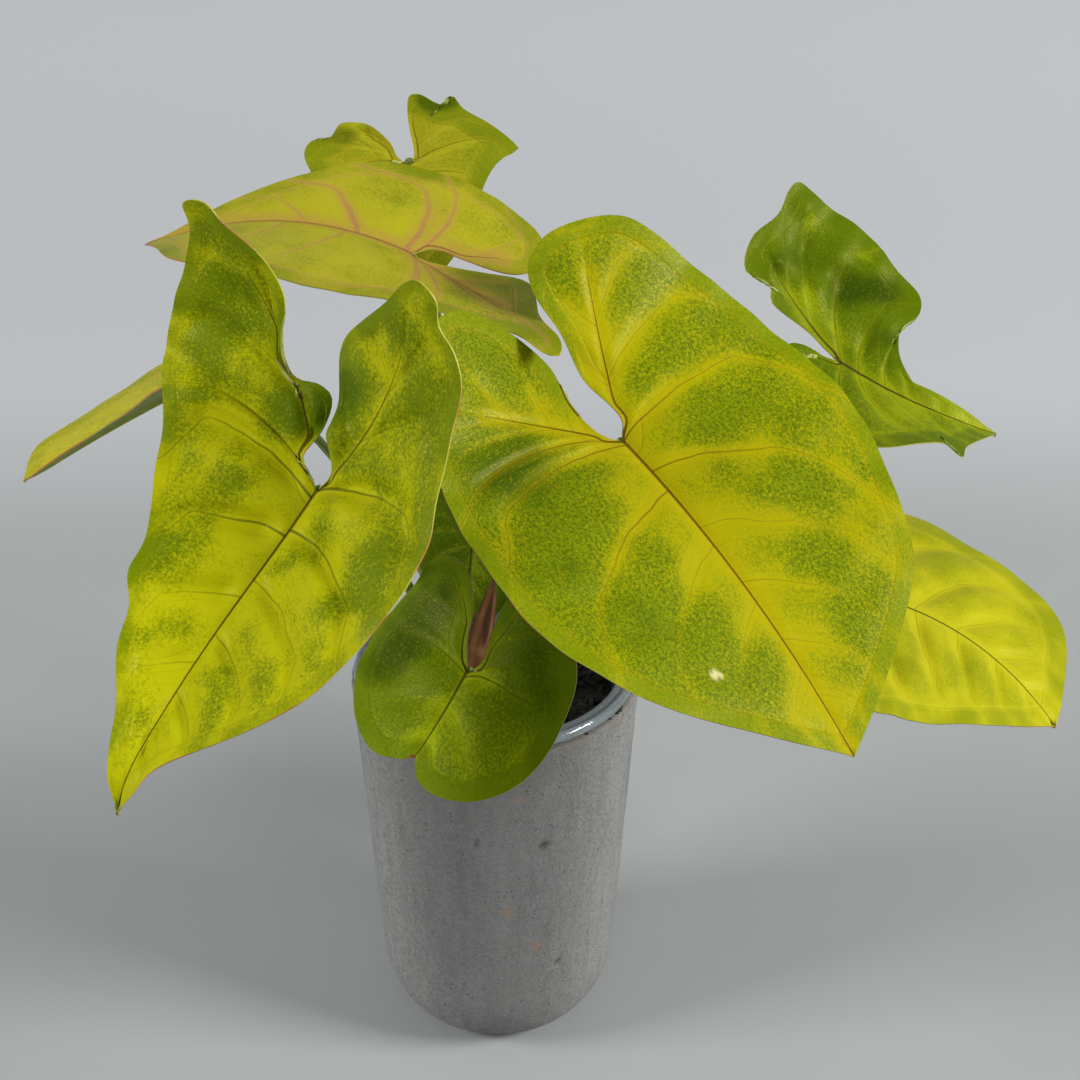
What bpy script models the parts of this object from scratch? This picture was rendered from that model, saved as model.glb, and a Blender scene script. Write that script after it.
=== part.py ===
"""Arrowhead plant (Syngonium) in a small cement pot.

Nine arrow-shaped blades on slender stalks rise from three short stems. The stems
stand in dark soil, the soil fills a clear plastic pot with a rolled lip, and that
pot hangs by its lip in a tapered cement pot with a rounded foot.

Frame: origin at the centre of the cement pot's flat foot, +Z up, metres.
"""

import math
from dataclasses import dataclass, field

import bmesh
import bpy
from mathutils import Matrix, Vector

MM = 0.001
GAP = 0.3

# Cement pot, in millimetres
POT_TOP_RADIUS = 40.0
POT_HEIGHT = 115.0
POT_WALL_RADIUS_AT_FOOT = 32.6
FOOT_FLAT_RADIUS = 16.0
FOOT_ROUNDING = 25.0
POT_WALL = 4.6
POT_FLOOR = 9.0
POT_RIM_ROUNDING = 0.8

# Clear plastic pot
LINER_WALL = 0.8
LINER_CLEARANCE = 0.5
LINER_BOTTOM = 30.0
LINER_TAPER = 0.085
LINER_LIP_RADIUS = 39.1
LINER_LIP_HEIGHT = 3.4
DRAIN_HOLES = 5
DRAIN_HOLE_RADIUS = 2.6
DRAIN_RING_RADIUS = 17.0

# Soil
SOIL_TOP = 105.0
SOIL_MOUND = 2.0

# Stems: (x, y, height above the soil)
STEM_RADIUS = 2.3
STEM_DEPTH = 14.0
STEMS = {
    "stem_front": (-6.0, -9.0, 12.0),
    "stem_right": (9.0, 2.0, 15.0),
    "stem_back": (-7.0, 9.0, 18.0),
}

# Stalks
STALK_BASE_RADIUS = 1.7
STALK_TIP_RADIUS = 1.1
STALK_SIDES = 8
STALK_RINGS = 14

# Blades
BLADE_THICKNESS = 0.7
RIB_REACH = 0.70
LOBE_COLUMNS = 4
BODY_COLUMNS = 8
CROSS_ROWS = 3
LOBE_MARGIN_SHARE = 0.36


@dataclass(frozen=True)
class Leaf:
    """One leaf: where its blade joins the stalk, how it is turned and bent, and its outline.

    Lengths in millimetres, angles in degrees. A pair holds the right and left halves.
    The outline of a half runs from the junction round the back lobe to the tip, as
    (distance along the midrib, distance out from it).
    """

    name: str
    junction: tuple
    heading: float
    pitch: float
    roll: float
    length: float
    half_width: float
    lobe_length: float
    droop: float
    twist: float
    sweep: float
    fold: tuple
    cup: tuple
    lobe_lift: tuple
    lobe_sweep: tuple
    lobe_twist: tuple
    lobe_fold: float
    right: tuple
    left: tuple
    stem: str
    stem_angle: float
    stalk_rise: float
    stalk_reach: float
    stalk_lean: tuple = field(default=(0.0, 0.0))


LEAVES = (
    Leaf(
        name="front_right",
        junction=(32.5, -42.0, 210.4),
        heading=-43.0, pitch=-27.0, roll=-12.0,
        length=93.0, half_width=54.0, lobe_length=53.0,
        droop=15.0, twist=-2.0, sweep=-8.0,
        fold=(10.0, 10.0), cup=(-10.0, -10.0),
        lobe_lift=(30.0, 30.0), lobe_sweep=(-9.0, -9.0), lobe_twist=(3.0, 3.0), lobe_fold=9.0,
        right=((0, 0), (-5, 4), (-15, 5), (-26, 2), (-40, 6), (-50, 13), (-53, 22), (-47, 32),
               (-36, 40), (-18, 48), (2, 52), (24, 54), (44, 49), (62, 38), (80, 18), (93, 0)),
        left=((0, 0), (-6, 4), (-18, 3), (-30, 6), (-42, 7), (-49, 11), (-51, 20), (-46, 33),
              (-38, 40), (-20, 46), (2, 52), (26, 54), (45, 48), (62, 40), (78, 21), (93, 0)),
        stem="stem_right", stem_angle=-60.0, stalk_rise=55.0, stalk_reach=30.0,
    ),
    Leaf(
        name="front_left",
        junction=(-40.0, -60.0, 206.9),
        heading=-124.0, pitch=-48.0, roll=2.0,
        length=88.0, half_width=50.0, lobe_length=50.0,
        droop=-31.0, twist=-12.0, sweep=-8.0,
        fold=(24.0, 24.0), cup=(-15.0, -15.0),
        lobe_lift=(40.0, 40.0), lobe_sweep=(-4.0, -28.0), lobe_twist=(8.0, 8.0), lobe_fold=2.0,
        right=((0, 0), (-4, 4), (-7, 6), (-14, 4), (-23, 4), (-27, 12), (-36, 17), (-46, 16.5), (-56, 21),
               (-66, 29), (-73, 33), (-73, 39), (-66, 39), (-54, 42), (-36, 46), (-19, 46), (-3, 41),
               (10, 38), (27, 32), (38, 31), (46, 26), (57, 22), (68, 14), (78, 8), (88, 0)),
        left=((0, 0), (-4, 3), (-8, 3), (-14, 2), (-28, 2), (-33, 4), (-37, 8), (-40, 17), (-43, 28),
              (-46, 37), (-46, 43), (-42, 46), (-37, 43.5), (-32, 46), (-26, 46), (-17, 43), (-6, 41),
              (6, 42), (20, 40), (32, 36), (45, 31), (53, 26), (60, 20), (67, 13), (73, 7), (79, 2.5),
              (88, 0)),
        stem="stem_front", stem_angle=-160.0, stalk_rise=50.0, stalk_reach=34.0,
        stalk_lean=(-12.0, -2.0),
    ),
    Leaf(
        name="top",
        junction=(-20.3, 10.0, 236.7),
        heading=166.0, pitch=14.0, roll=5.0,
        length=74.0, half_width=45.0, lobe_length=50.0,
        droop=36.0, twist=0.0, sweep=4.0,
        fold=(14.0, 14.0), cup=(-14.0, -16.0),
        lobe_lift=(-8.0, 12.0), lobe_sweep=(0.0, -20.0), lobe_twist=(0.0, 0.0), lobe_fold=0.0,
        right=((0, 0), (-4, 1.5), (-8, 3), (-12, 3.5), (-20, 4), (-27, 6), (-31, 12), (-29, 21),
               (-22, 27), (-12, 31), (4, 34), (18, 32), (33, 25), (50, 14), (64, 4), (74, 0)),
        left=((0, 0), (-4, 2.5), (-8, 2.5), (-13, 2), (-20, 1.2), (-28, 1.5), (-32, 7), (-33, 16),
              (-34, 25), (-38, 35), (-38, 42), (-35, 41), (-30, 34.5), (-22, 31), (-12, 30), (-3, 31),
              (16, 35), (34, 32), (54, 25), (66, 10), (74, 0)),
        stem="stem_back", stem_angle=-70.0, stalk_rise=70.0, stalk_reach=30.0,
    ),
    Leaf(
        name="top_back",
        junction=(-22.8, 54.0, 242.8),
        heading=-88.0, pitch=-72.0, roll=0.0,
        length=38.0, half_width=28.0, lobe_length=28.0,
        droop=0.0, twist=0.0, sweep=0.0,
        fold=(10.0, 10.0), cup=(-10.0, -10.0),
        lobe_lift=(20.0, 10.0), lobe_sweep=(0.0, -15.0), lobe_twist=(0.0, 0.0), lobe_fold=0.0,
        right=((0, 0), (-2, 3), (-6, 5), (-10, 9), (-12, 13), (-12, 18), (-8, 21), (-7, 26),
               (-3, 28), (4, 25), (16, 18), (28, 9), (38, 0)),
        left=((0, 0), (-3, 0.4), (-9, 0.8), (-14, 0.8), (-18, 2), (-18, 5), (-15.5, 8.5), (-14.5, 11.5),
              (-16.5, 13.5), (-13, 16), (-9, 22.5), (-5, 28), (-3, 29.5), (-0.5, 24), (6, 20), (18, 16),
              (28, 9), (38, 0)),
        stem="stem_back", stem_angle=80.0, stalk_rise=80.0, stalk_reach=24.0,
    ),
    Leaf(
        name="back_right",
        junction=(93.4, 25.0, 198.2),
        heading=-12.0, pitch=-24.0, roll=10.0,
        length=46.0, half_width=36.0, lobe_length=40.0,
        droop=-4.0, twist=-12.0, sweep=0.0,
        fold=(-22.0, 52.0), cup=(-5.0, -5.0),
        lobe_lift=(0.0, 15.0), lobe_sweep=(0.0, 0.0), lobe_twist=(0.0, 0.0), lobe_fold=0.0,
        right=((0, 0), (-5, 1), (-11, 0.8), (-15, 3), (-16, 8), (-13, 18), (-7, 26), (4, 31), (16, 29),
               (26, 22), (32, 18), (37, 20), (38, 14), (46, 0)),
        left=((0, 0), (-5, 1), (-12, 3), (-24, 4), (-28, 8), (-36, 7), (-40, 16), (-38, 26),
              (-40, 34), (-38, 38), (-28, 38), (-18, 38), (-6, 36), (4, 31), (12, 26), (16, 20),
              (18, 14), (22, 9), (28, 6), (36, 4), (46, 0)),
        stem="stem_right", stem_angle=40.0, stalk_rise=40.0, stalk_reach=30.0,
    ),
    Leaf(
        name="low_right",
        junction=(100.1, 25.0, 125.9),
        heading=-2.0, pitch=-10.0, roll=-3.0,
        length=72.0, half_width=45.0, lobe_length=40.0,
        droop=27.0, twist=16.0, sweep=-43.0,
        fold=(4.0, 4.0), cup=(-14.0, -14.0),
        lobe_lift=(0.0, 0.0), lobe_sweep=(0.0, 0.0), lobe_twist=(0.0, 0.0), lobe_fold=0.0,
        right=((0, 0), (-6, 4), (-18, 8), (-30, 14), (-34, 24), (-26, 36), (-8, 45), (10, 48),
               (26, 44), (42, 37), (56, 25), (66, 12), (72, 0)),
        left=((0, 0), (-6, 4), (-18, 8), (-30, 14), (-34, 24), (-26, 38), (-8, 48), (10, 51),
              (24, 44), (40, 39), (54, 30), (64, 13), (72, 0)),
        stem="stem_right", stem_angle=-10.0, stalk_rise=42.0, stalk_reach=8.0,
        stalk_lean=(14.0, 4.0),
    ),
    Leaf(
        name="far_left",
        junction=(-63.1, 20.0, 203.6),
        heading=196.0, pitch=-19.0, roll=-24.0,
        length=70.0, half_width=30.0, lobe_length=30.0,
        droop=10.0, twist=-12.0, sweep=0.0,
        fold=(16.0, 16.0), cup=(-10.0, -10.0),
        lobe_lift=(0.0, 0.0), lobe_sweep=(0.0, 0.0), lobe_twist=(0.0, 0.0), lobe_fold=0.0,
        right=((0, 0), (-3, 3), (-6, 6), (-8, 11), (-7, 18), (-3, 24), (6, 27), (18, 26),
               (36, 19), (54, 14), (64, 12), (70, 0)),
        left=((0, 0), (-3, 3), (-6, 6), (-8, 11), (-7, 18), (-3, 24), (6, 27), (18, 26),
              (34, 21), (54, 10), (70, 0)),
        stem="stem_back", stem_angle=190.0, stalk_rise=45.0, stalk_reach=30.0,
    ),
    Leaf(
        name="low_front",
        junction=(-6.2, -48.0, 147.5),
        heading=-129.0, pitch=-42.0, roll=1.0,
        length=25.0, half_width=30.0, lobe_length=26.0,
        droop=1.0, twist=-1.0, sweep=-8.0,
        fold=(8.0, 8.0), cup=(-21.0, -21.0),
        lobe_lift=(35.0, 35.0), lobe_sweep=(-7.0, -7.0), lobe_twist=(4.0, 4.0), lobe_fold=3.0,
        right=((0, 0), (-4, 2), (-9, 4), (-18, 5), (-27, 9), (-28, 16), (-24, 21), (-14, 26), (0, 32),
               (12, 31), (24, 23), (30, 12), (28, 4), (25, 0)),
        left=((0, 0), (-4, 3), (-12, 3), (-20, 5), (-25, 12), (-22, 21), (-12, 29), (0, 31),
              (14, 30), (24, 23), (29, 13), (29, 5), (25, 0)),
        stem="stem_front", stem_angle=-60.0, stalk_rise=22.0, stalk_reach=16.0,
    ),
    Leaf(
        name="middle",
        junction=(-5.1, -6.0, 163.3),
        heading=-112.0, pitch=-72.0, roll=0.0,
        length=30.0, half_width=16.0, lobe_length=12.0,
        droop=8.0, twist=0.0, sweep=0.0,
        fold=(8.0, 8.0), cup=(-8.0, -8.0),
        lobe_lift=(0.0, 0.0), lobe_sweep=(0.0, 0.0), lobe_twist=(0.0, 0.0), lobe_fold=0.0,
        right=((0, 0), (-4, 3), (-9, 7), (-11, 12), (-6, 16), (2, 17), (12, 14), (22, 8), (30, 0)),
        left=((0, 0), (-4, 3), (-9, 7), (-11, 12), (-6, 16), (2, 17), (12, 14), (22, 8), (30, 0)),
        stem="stem_front", stem_angle=60.0, stalk_rise=30.0, stalk_reach=10.0,
    ),
)

# Dried sheath left by an old leaf: it stands up beside the front stem
DRY_SHEATH_FOOT = (-14.5, -20.5, 108.0)
DRY_SHEATH_TOP = (0.5, -30.0, 164.0)
DRY_SHEATH_WIDTH = 3.3
DRY_SHEATH_THICKNESS = 0.6
DRY_SHEATH_ROWS = 8


def clear_scene():
    """Remove every object that the scene opens with."""
    for obj in list(bpy.data.objects):
        bpy.data.objects.remove(obj, do_unlink=True)


def material(name, colour, roughness, metallic=0.0, transmission=0.0, alpha=1.0):
    """A plain surface in one colour."""
    made = bpy.data.materials.new(name)
    made.use_nodes = True
    shader = made.node_tree.nodes["Principled BSDF"]
    shader.inputs["Base Color"].default_value = (*colour, 1.0)
    shader.inputs["Roughness"].default_value = roughness
    shader.inputs["Metallic"].default_value = metallic
    shader.inputs["Transmission Weight"].default_value = transmission
    shader.inputs["Alpha"].default_value = alpha
    made.diffuse_color = (*colour, 1.0)
    return made


def add_object(name, mesh_builder, finish, smooth_angle=35.0):
    """Write a bmesh given in millimetres as an object in metres."""
    bmesh.ops.recalc_face_normals(mesh_builder, faces=mesh_builder.faces)
    bmesh.ops.scale(mesh_builder, vec=(MM, MM, MM), verts=mesh_builder.verts)
    mesh = bpy.data.meshes.new(name)
    mesh_builder.to_mesh(mesh)
    mesh_builder.free()
    mesh.materials.append(finish)
    mesh.shade_smooth()
    mesh.set_sharp_from_angle(angle=math.radians(smooth_angle))
    obj = bpy.data.objects.new(name, mesh)
    bpy.context.scene.collection.objects.link(obj)
    return obj


def turned(profile, segments):
    """Spin an open outline of (radius, height) points round the Z axis into a closed body."""
    made = bmesh.new()
    points = [made.verts.new((radius, 0.0, height)) for radius, height in profile]
    edges = [made.edges.new(pair) for pair in zip(points, points[1:])]
    bmesh.ops.spin(
        made,
        geom=points + edges,
        axis=(0.0, 0.0, 1.0),
        cent=(0.0, 0.0, 0.0),
        angle=math.tau,
        steps=segments,
        use_merge=True,
    )
    bmesh.ops.remove_doubles(made, verts=made.verts, dist=0.001)
    open_edges = [edge for edge in made.edges if edge.is_boundary]
    if open_edges:
        bmesh.ops.holes_fill(made, edges=open_edges, sides=0)
    return made


def cement_wall_radius(height):
    """Outer radius of the cement pot's straight wall at a height."""
    rise = POT_TOP_RADIUS - POT_WALL_RADIUS_AT_FOOT
    return POT_WALL_RADIUS_AT_FOOT + rise * height / POT_HEIGHT


def cement_pot():
    """Tapered cup with a softly rounded foot and an open top."""
    steps = 9
    wide = cement_wall_radius(FOOT_ROUNDING)
    profile = [(0.0, 0.0), (FOOT_FLAT_RADIUS, 0.0)]
    for step in range(1, steps + 1):
        angle = 0.5 * math.pi * step / steps
        profile.append((
            FOOT_FLAT_RADIUS + (wide - FOOT_FLAT_RADIUS) * math.sin(angle),
            FOOT_ROUNDING * (1.0 - math.cos(angle)),
        ))
    edge = POT_RIM_ROUNDING
    inner_top = POT_TOP_RADIUS - POT_WALL
    inner_foot = cement_wall_radius(POT_FLOOR) - POT_WALL
    inner_bend = 14.0
    profile += [
        (POT_TOP_RADIUS, POT_HEIGHT - edge),
        (POT_TOP_RADIUS - edge, POT_HEIGHT),
        (inner_top + edge, POT_HEIGHT),
        (inner_top, POT_HEIGHT - edge),
        (inner_foot, POT_FLOOR + inner_bend),
        (inner_foot - 5.0, POT_FLOOR + 4.0),
        (inner_foot - inner_bend, POT_FLOOR),
        (0.0, POT_FLOOR),
    ]
    return turned(profile, 48)


def liner_radius(height):
    """Outer radius of the plastic pot's wall at a height."""
    top = POT_TOP_RADIUS - POT_WALL - LINER_CLEARANCE
    return top - LINER_TAPER * (POT_HEIGHT - height)


def plastic_pot():
    """Thin cup hung by a rolled lip that rests on the cement rim."""
    lip_low = POT_HEIGHT + GAP
    lip_high = lip_low + LINER_LIP_HEIGHT
    lip_middle = 0.5 * (lip_low + lip_high)
    outer = liner_radius(POT_HEIGHT)
    bottom = liner_radius(LINER_BOTTOM)
    inner = outer - LINER_WALL
    profile = [
        (0.0, LINER_BOTTOM),
        (bottom - 2.0, LINER_BOTTOM),
        (bottom, LINER_BOTTOM + 2.0),
        (outer, lip_low),
        (LINER_LIP_RADIUS - 0.9, lip_low),
        (LINER_LIP_RADIUS - 0.2, lip_low + 0.7),
        (LINER_LIP_RADIUS, lip_middle),
        (LINER_LIP_RADIUS - 0.4, lip_high - 0.7),
        (LINER_LIP_RADIUS - 1.4, lip_high),
        (inner + 0.8, lip_high),
        (inner, lip_high - 0.8),
        (inner, lip_low - 1.0),
        (bottom - LINER_WALL, LINER_BOTTOM + 2.6),
        (bottom - 2.6, LINER_BOTTOM + LINER_WALL),
        (0.0, LINER_BOTTOM + LINER_WALL),
    ]
    return turned(profile, 48)


def soil_body():
    """Soil filling the plastic pot, with a low mound in the middle."""
    low = LINER_BOTTOM + LINER_WALL + GAP
    foot = liner_radius(LINER_BOTTOM) - LINER_WALL - GAP
    top = liner_radius(SOIL_TOP) - LINER_WALL - GAP
    profile = [
        (0.0, low),
        (foot - 2.8, low),
        (foot, low + 2.8),
        (top, SOIL_TOP),
        (0.66 * top, SOIL_TOP + 0.4 * SOIL_MOUND),
        (0.33 * top, SOIL_TOP + 0.8 * SOIL_MOUND),
        (0.0, SOIL_TOP + SOIL_MOUND),
    ]
    return turned(profile, 36)


def rod(centre, radius, low, high, sides):
    """Upright round bar between two heights."""
    made = bmesh.new()
    place = Matrix.Translation((centre[0], centre[1], 0.5 * (low + high)))
    bmesh.ops.create_cone(
        made,
        cap_ends=True,
        segments=sides,
        radius1=radius,
        radius2=radius,
        depth=high - low,
        matrix=place,
    )
    return made


def cut(obj, cutter):
    """Take a hidden cutter away from an object."""
    cutter.hide_render = True
    cutter.display_type = "WIRE"
    modifier = obj.modifiers.new("cut_" + cutter.name, "BOOLEAN")
    modifier.operation = "DIFFERENCE"
    modifier.solver = "EXACT"
    modifier.object = cutter


def bezier(points, share):
    """Point on a cubic curve."""
    start, first, second, end = points
    rest = 1.0 - share
    return (
        start * rest ** 3
        + first * (3.0 * rest * rest * share)
        + second * (3.0 * rest * share * share)
        + end * share ** 3
    )


def swept_tube(path, radii, sides):
    """Closed round bar along a list of points, with one radius at each."""
    made = bmesh.new()
    rings = len(path)
    bmesh.ops.create_grid(made, x_segments=sides, y_segments=rings - 1, size=1.0)
    made.verts.ensure_lookup_table()
    side = Vector((1.0, 0.0, 0.0))
    frames = []
    for index in range(rings):
        before = path[max(index - 1, 0)]
        after = path[min(index + 1, rings - 1)]
        along = (after - before).normalized()
        side = (side - along * side.dot(along)).normalized()
        frames.append((side.copy(), along.cross(side)))
    for number, vertex in enumerate(made.verts):
        ring, step = divmod(number, sides + 1)
        angle = math.tau * step / sides
        across, out = frames[ring]
        offset = across * math.cos(angle) + out * math.sin(angle)
        vertex.co = path[ring] + offset * radii[ring]
    bmesh.ops.remove_doubles(made, verts=made.verts, dist=0.001)
    open_edges = [edge for edge in made.edges if edge.is_boundary]
    bmesh.ops.holes_fill(made, edges=open_edges, sides=0)
    return made


def spline(landmarks, per_span):
    """Smooth flat curve through the landmarks, as a list of points."""
    points = [Vector(point) for point in landmarks]
    padded = [2 * points[0] - points[1], *points, 2 * points[-1] - points[-2]]
    curve = []
    for before, start, end, after in zip(padded, padded[1:], padded[2:], padded[3:]):
        for step in range(per_span):
            part = step / per_span
            curve.append(0.5 * (
                2 * start
                + (end - before) * part
                + (2 * before - 5 * start + 4 * end - after) * part ** 2
                + (3 * start - before - 3 * end + after) * part ** 3
            ))
    curve.append(points[-1])
    return curve


def along_curve(curve, shares):
    """Points at the given shares of a curve's length."""
    reached = [0.0]
    for start, end in zip(curve, curve[1:]):
        reached.append(reached[-1] + (end - start).length)
    found = []
    for share in shares:
        wanted = share * reached[-1]
        index = next(i for i in range(1, len(reached)) if reached[i] >= wanted - 1e-9)
        step = reached[index] - reached[index - 1]
        part = (wanted - reached[index - 1]) / step if step else 0.0
        found.append(curve[index - 1].lerp(curve[index], min(max(part, 0.0), 1.0)))
    return found


def half_columns(outline):
    """Pairs of skeleton and margin points round one half of a blade, in flat millimetres."""
    per_span = 8
    curve = spline(outline, per_span)
    for point in curve:
        point.y = max(point.y, 0.0)
    back = min(range(len(curve)), key=lambda index: curve[index].x)
    lobe_end = curve[back]
    rib_end = lobe_end * RIB_REACH
    tip = Vector(outline[-1])
    inner = along_curve(curve[: back + 1], [i / LOBE_COLUMNS for i in range(LOBE_COLUMNS)])
    skeleton = [rib_end * (i / LOBE_COLUMNS) for i in range(LOBE_COLUMNS)]
    shares = [LOBE_MARGIN_SHARE * i / LOBE_COLUMNS for i in range(LOBE_COLUMNS)]
    rest = 1.0 - LOBE_MARGIN_SHARE
    shares += [LOBE_MARGIN_SHARE + rest * i / BODY_COLUMNS for i in range(BODY_COLUMNS + 1)]
    outer = along_curve(curve[back:], shares)
    skeleton += [rib_end * (1.0 - i / LOBE_COLUMNS) for i in range(LOBE_COLUMNS)]
    skeleton += [tip * (i / BODY_COLUMNS) for i in range(BODY_COLUMNS + 1)]
    return list(zip(skeleton, inner + outer))


def bent(length, start_angle, rate):
    """Across and up distances after following an arc that starts at an angle."""
    if abs(rate) < 1e-6:
        return length * math.cos(start_angle), length * math.sin(start_angle)
    end_angle = start_angle + rate * length
    across = (math.sin(end_angle) - math.sin(start_angle)) / rate
    rise = (math.cos(start_angle) - math.cos(end_angle)) / rate
    return across, rise


def smooth_step(value):
    """Ease from 0 to 1."""
    value = min(max(value, 0.0), 1.0)
    return value * value * (3.0 - 2.0 * value)


def leaf_axes(leaf):
    """Right, forward and upward directions of a blade at its junction."""
    heading, pitch, roll = (math.radians(a) for a in (leaf.heading, leaf.pitch, leaf.roll))
    forward = Vector((
        math.cos(pitch) * math.cos(heading),
        math.cos(pitch) * math.sin(heading),
        math.sin(pitch),
    ))
    level = Vector((math.sin(heading), -math.cos(heading), 0.0))
    raised = level.cross(forward)
    right = level * math.cos(roll) + raised * math.sin(roll)
    up = raised * math.cos(roll) - level * math.sin(roll)
    return right, forward, up


def on_leaf(leaf, along, out, side):
    """Place a flat point of one half on the bent blade."""
    half = 0 if side > 0 else 1
    lobe = smooth_step(-along / leaf.lobe_length)
    fold = math.radians(leaf.fold[half] + leaf.lobe_fold * lobe)
    cup = math.radians(leaf.cup[half]) / leaf.half_width
    across, rise = bent(out, fold, cup)
    across *= side
    if along >= 0.0:
        reach = leaf.length
        rates = (-leaf.droop, leaf.twist, leaf.sweep)
    else:
        reach = leaf.lobe_length
        rates = (leaf.lobe_lift[half], -leaf.lobe_twist[half], leaf.lobe_sweep[half])
    turn = Vector([math.radians(rate) / reach for rate in rates])
    rate = turn.length
    spine = Vector((0.0, 1.0, 0.0))
    if rate < 1e-9:
        place = spine * along
        frame = Matrix.Identity(3)
    else:
        axis = turn / rate
        angle = rate * along
        frame = Matrix.Rotation(angle, 3, axis)
        place = (
            spine * (math.sin(angle) / rate)
            + axis.cross(spine) * ((1.0 - math.cos(angle)) / rate)
            + axis * axis.dot(spine) * (along - math.sin(angle) / rate)
        )
    local = place + frame @ Vector((across, 0.0, rise))
    right, forward, up = leaf_axes(leaf)
    return Vector(leaf.junction) + right * local.x + forward * local.y + up * local.z


def blade(leaf):
    """Both halves of a blade as one thin sheet, stitched along the midrib and the lobe ribs."""
    made = bmesh.new()
    for side, outline in ((1.0, leaf.right), (-1.0, leaf.left)):
        columns = half_columns(outline)
        half = bmesh.new()
        bmesh.ops.create_grid(
            half, x_segments=CROSS_ROWS, y_segments=len(columns) - 1, size=1.0
        )
        half.verts.ensure_lookup_table()
        for number, vertex in enumerate(half.verts):
            column, row = divmod(number, CROSS_ROWS + 1)
            skeleton, margin = columns[column]
            flat = skeleton.lerp(margin, row / CROSS_ROWS)
            vertex.co = on_leaf(leaf, flat.x, flat.y, side)
        carrier = bpy.data.meshes.new("half")
        half.to_mesh(carrier)
        half.free()
        made.from_mesh(carrier)
        bpy.data.meshes.remove(carrier)
    bmesh.ops.remove_doubles(made, verts=made.verts, dist=0.05)
    bmesh.ops.dissolve_degenerate(made, edges=made.edges, dist=0.05)
    return made


def stalk_path(leaf):
    """Curve from the side of the stem up to just under the blade's junction."""
    stem_x, stem_y, _ = STEMS[leaf.stem]
    around = math.radians(leaf.stem_angle)
    offset = STEM_RADIUS + STALK_BASE_RADIUS + 2.0 * GAP
    foot = Vector((
        stem_x + offset * math.cos(around),
        stem_y + offset * math.sin(around),
        SOIL_TOP + SOIL_MOUND + 2.0 * GAP,
    ))
    _, forward, up = leaf_axes(leaf)
    drop = 0.5 * BLADE_THICKNESS + 3.0 * GAP
    end = Vector(leaf.junction) - up * drop - forward * 0.6
    start_pull = foot + Vector((leaf.stalk_lean[0], leaf.stalk_lean[1], leaf.stalk_rise))
    end_pull = end - up * leaf.stalk_reach
    corners = (foot, start_pull, end_pull, end)
    return [bezier(corners, index / (STALK_RINGS - 1)) for index in range(STALK_RINGS)]


def stalk(leaf):
    """Slender stalk, wider where it clasps the stem."""
    path = stalk_path(leaf)
    radii = []
    for index in range(STALK_RINGS):
        share = index / (STALK_RINGS - 1)
        radii.append(STALK_BASE_RADIUS + (STALK_TIP_RADIUS - STALK_BASE_RADIUS) * share ** 0.6)
    return swept_tube(path, radii, STALK_SIDES)


def dry_sheath():
    """Curled papery strip that narrows to a point."""
    made = bmesh.new()
    rows = DRY_SHEATH_ROWS
    across = 4
    bmesh.ops.create_grid(made, x_segments=across, y_segments=rows, size=1.0)
    made.verts.ensure_lookup_table()
    foot = Vector(DRY_SHEATH_FOOT)
    top = Vector(DRY_SHEATH_TOP)
    axis = (top - foot).normalized()
    side = Vector((1.0, 0.0, 0.0))
    side = (side - axis * side.dot(axis)).normalized()
    out = axis.cross(side)
    for number, vertex in enumerate(made.verts):
        row, column = divmod(number, across + 1)
        share = row / rows
        width = DRY_SHEATH_WIDTH * (1.0 - 0.75 * share ** 2)
        turn = math.radians(70.0) * (column / across - 0.5) * 2.0
        spine = foot.lerp(top, share) + side * 2.0 * math.sin(3.0 * share)
        vertex.co = spine + side * width * math.sin(turn) + out * width * (1.0 - math.cos(turn))
    return made


def main():
    """Build every piece."""
    clear_scene()
    cement = material("cement", (0.36, 0.37, 0.37), 0.92)
    clear_plastic = material("clear_plastic", (0.75, 0.80, 0.79), 0.12, transmission=0.6)
    soil_finish = material("dark_soil", (0.015, 0.012, 0.010), 0.95)
    stem_finish = material("stem_green", (0.20, 0.32, 0.06), 0.45)
    stalk_finish = material("stalk_green", (0.30, 0.42, 0.08), 0.40)
    blade_finish = material("blade_yellow_green", (0.38, 0.52, 0.03), 0.32)
    dry_finish = material("dry_brown", (0.24, 0.11, 0.06), 0.85)

    add_object("cement_pot", cement_pot(), cement)
    liner = add_object("plastic_pot", plastic_pot(), clear_plastic)
    for number in range(DRAIN_HOLES):
        angle = math.tau * number / DRAIN_HOLES
        centre = (DRAIN_RING_RADIUS * math.cos(angle), DRAIN_RING_RADIUS * math.sin(angle))
        hole = rod(centre, DRAIN_HOLE_RADIUS, LINER_BOTTOM - 3.0, LINER_BOTTOM + 3.0, 12)
        cut(liner, add_object(f"drain_cutter_{number}", hole, clear_plastic))

    soil = add_object("potting_soil", soil_body(), soil_finish)
    socket_floor = SOIL_TOP - STEM_DEPTH
    for name, (x, y, height) in STEMS.items():
        low = socket_floor + GAP
        high = SOIL_TOP + SOIL_MOUND + height
        socket = rod((x, y), STEM_RADIUS + GAP, socket_floor, SOIL_TOP + 10.0, 12)
        cut(soil, add_object(name + "_socket", socket, soil_finish))
        add_object(name, rod((x, y), STEM_RADIUS, low, high, 12), stem_finish)

    for leaf in LEAVES:
        sheet = add_object("blade_" + leaf.name, blade(leaf), blade_finish, 60.0)
        shell = sheet.modifiers.new("thickness", "SOLIDIFY")
        shell.thickness = BLADE_THICKNESS * MM
        shell.offset = 0.0
        add_object("stalk_" + leaf.name, stalk(leaf), stalk_finish)

    strip = add_object("dry_sheath", dry_sheath(), dry_finish)
    shell = strip.modifiers.new("thickness", "SOLIDIFY")
    shell.thickness = DRY_SHEATH_THICKNESS * MM
    shell.offset = 0.0


main()
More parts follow.
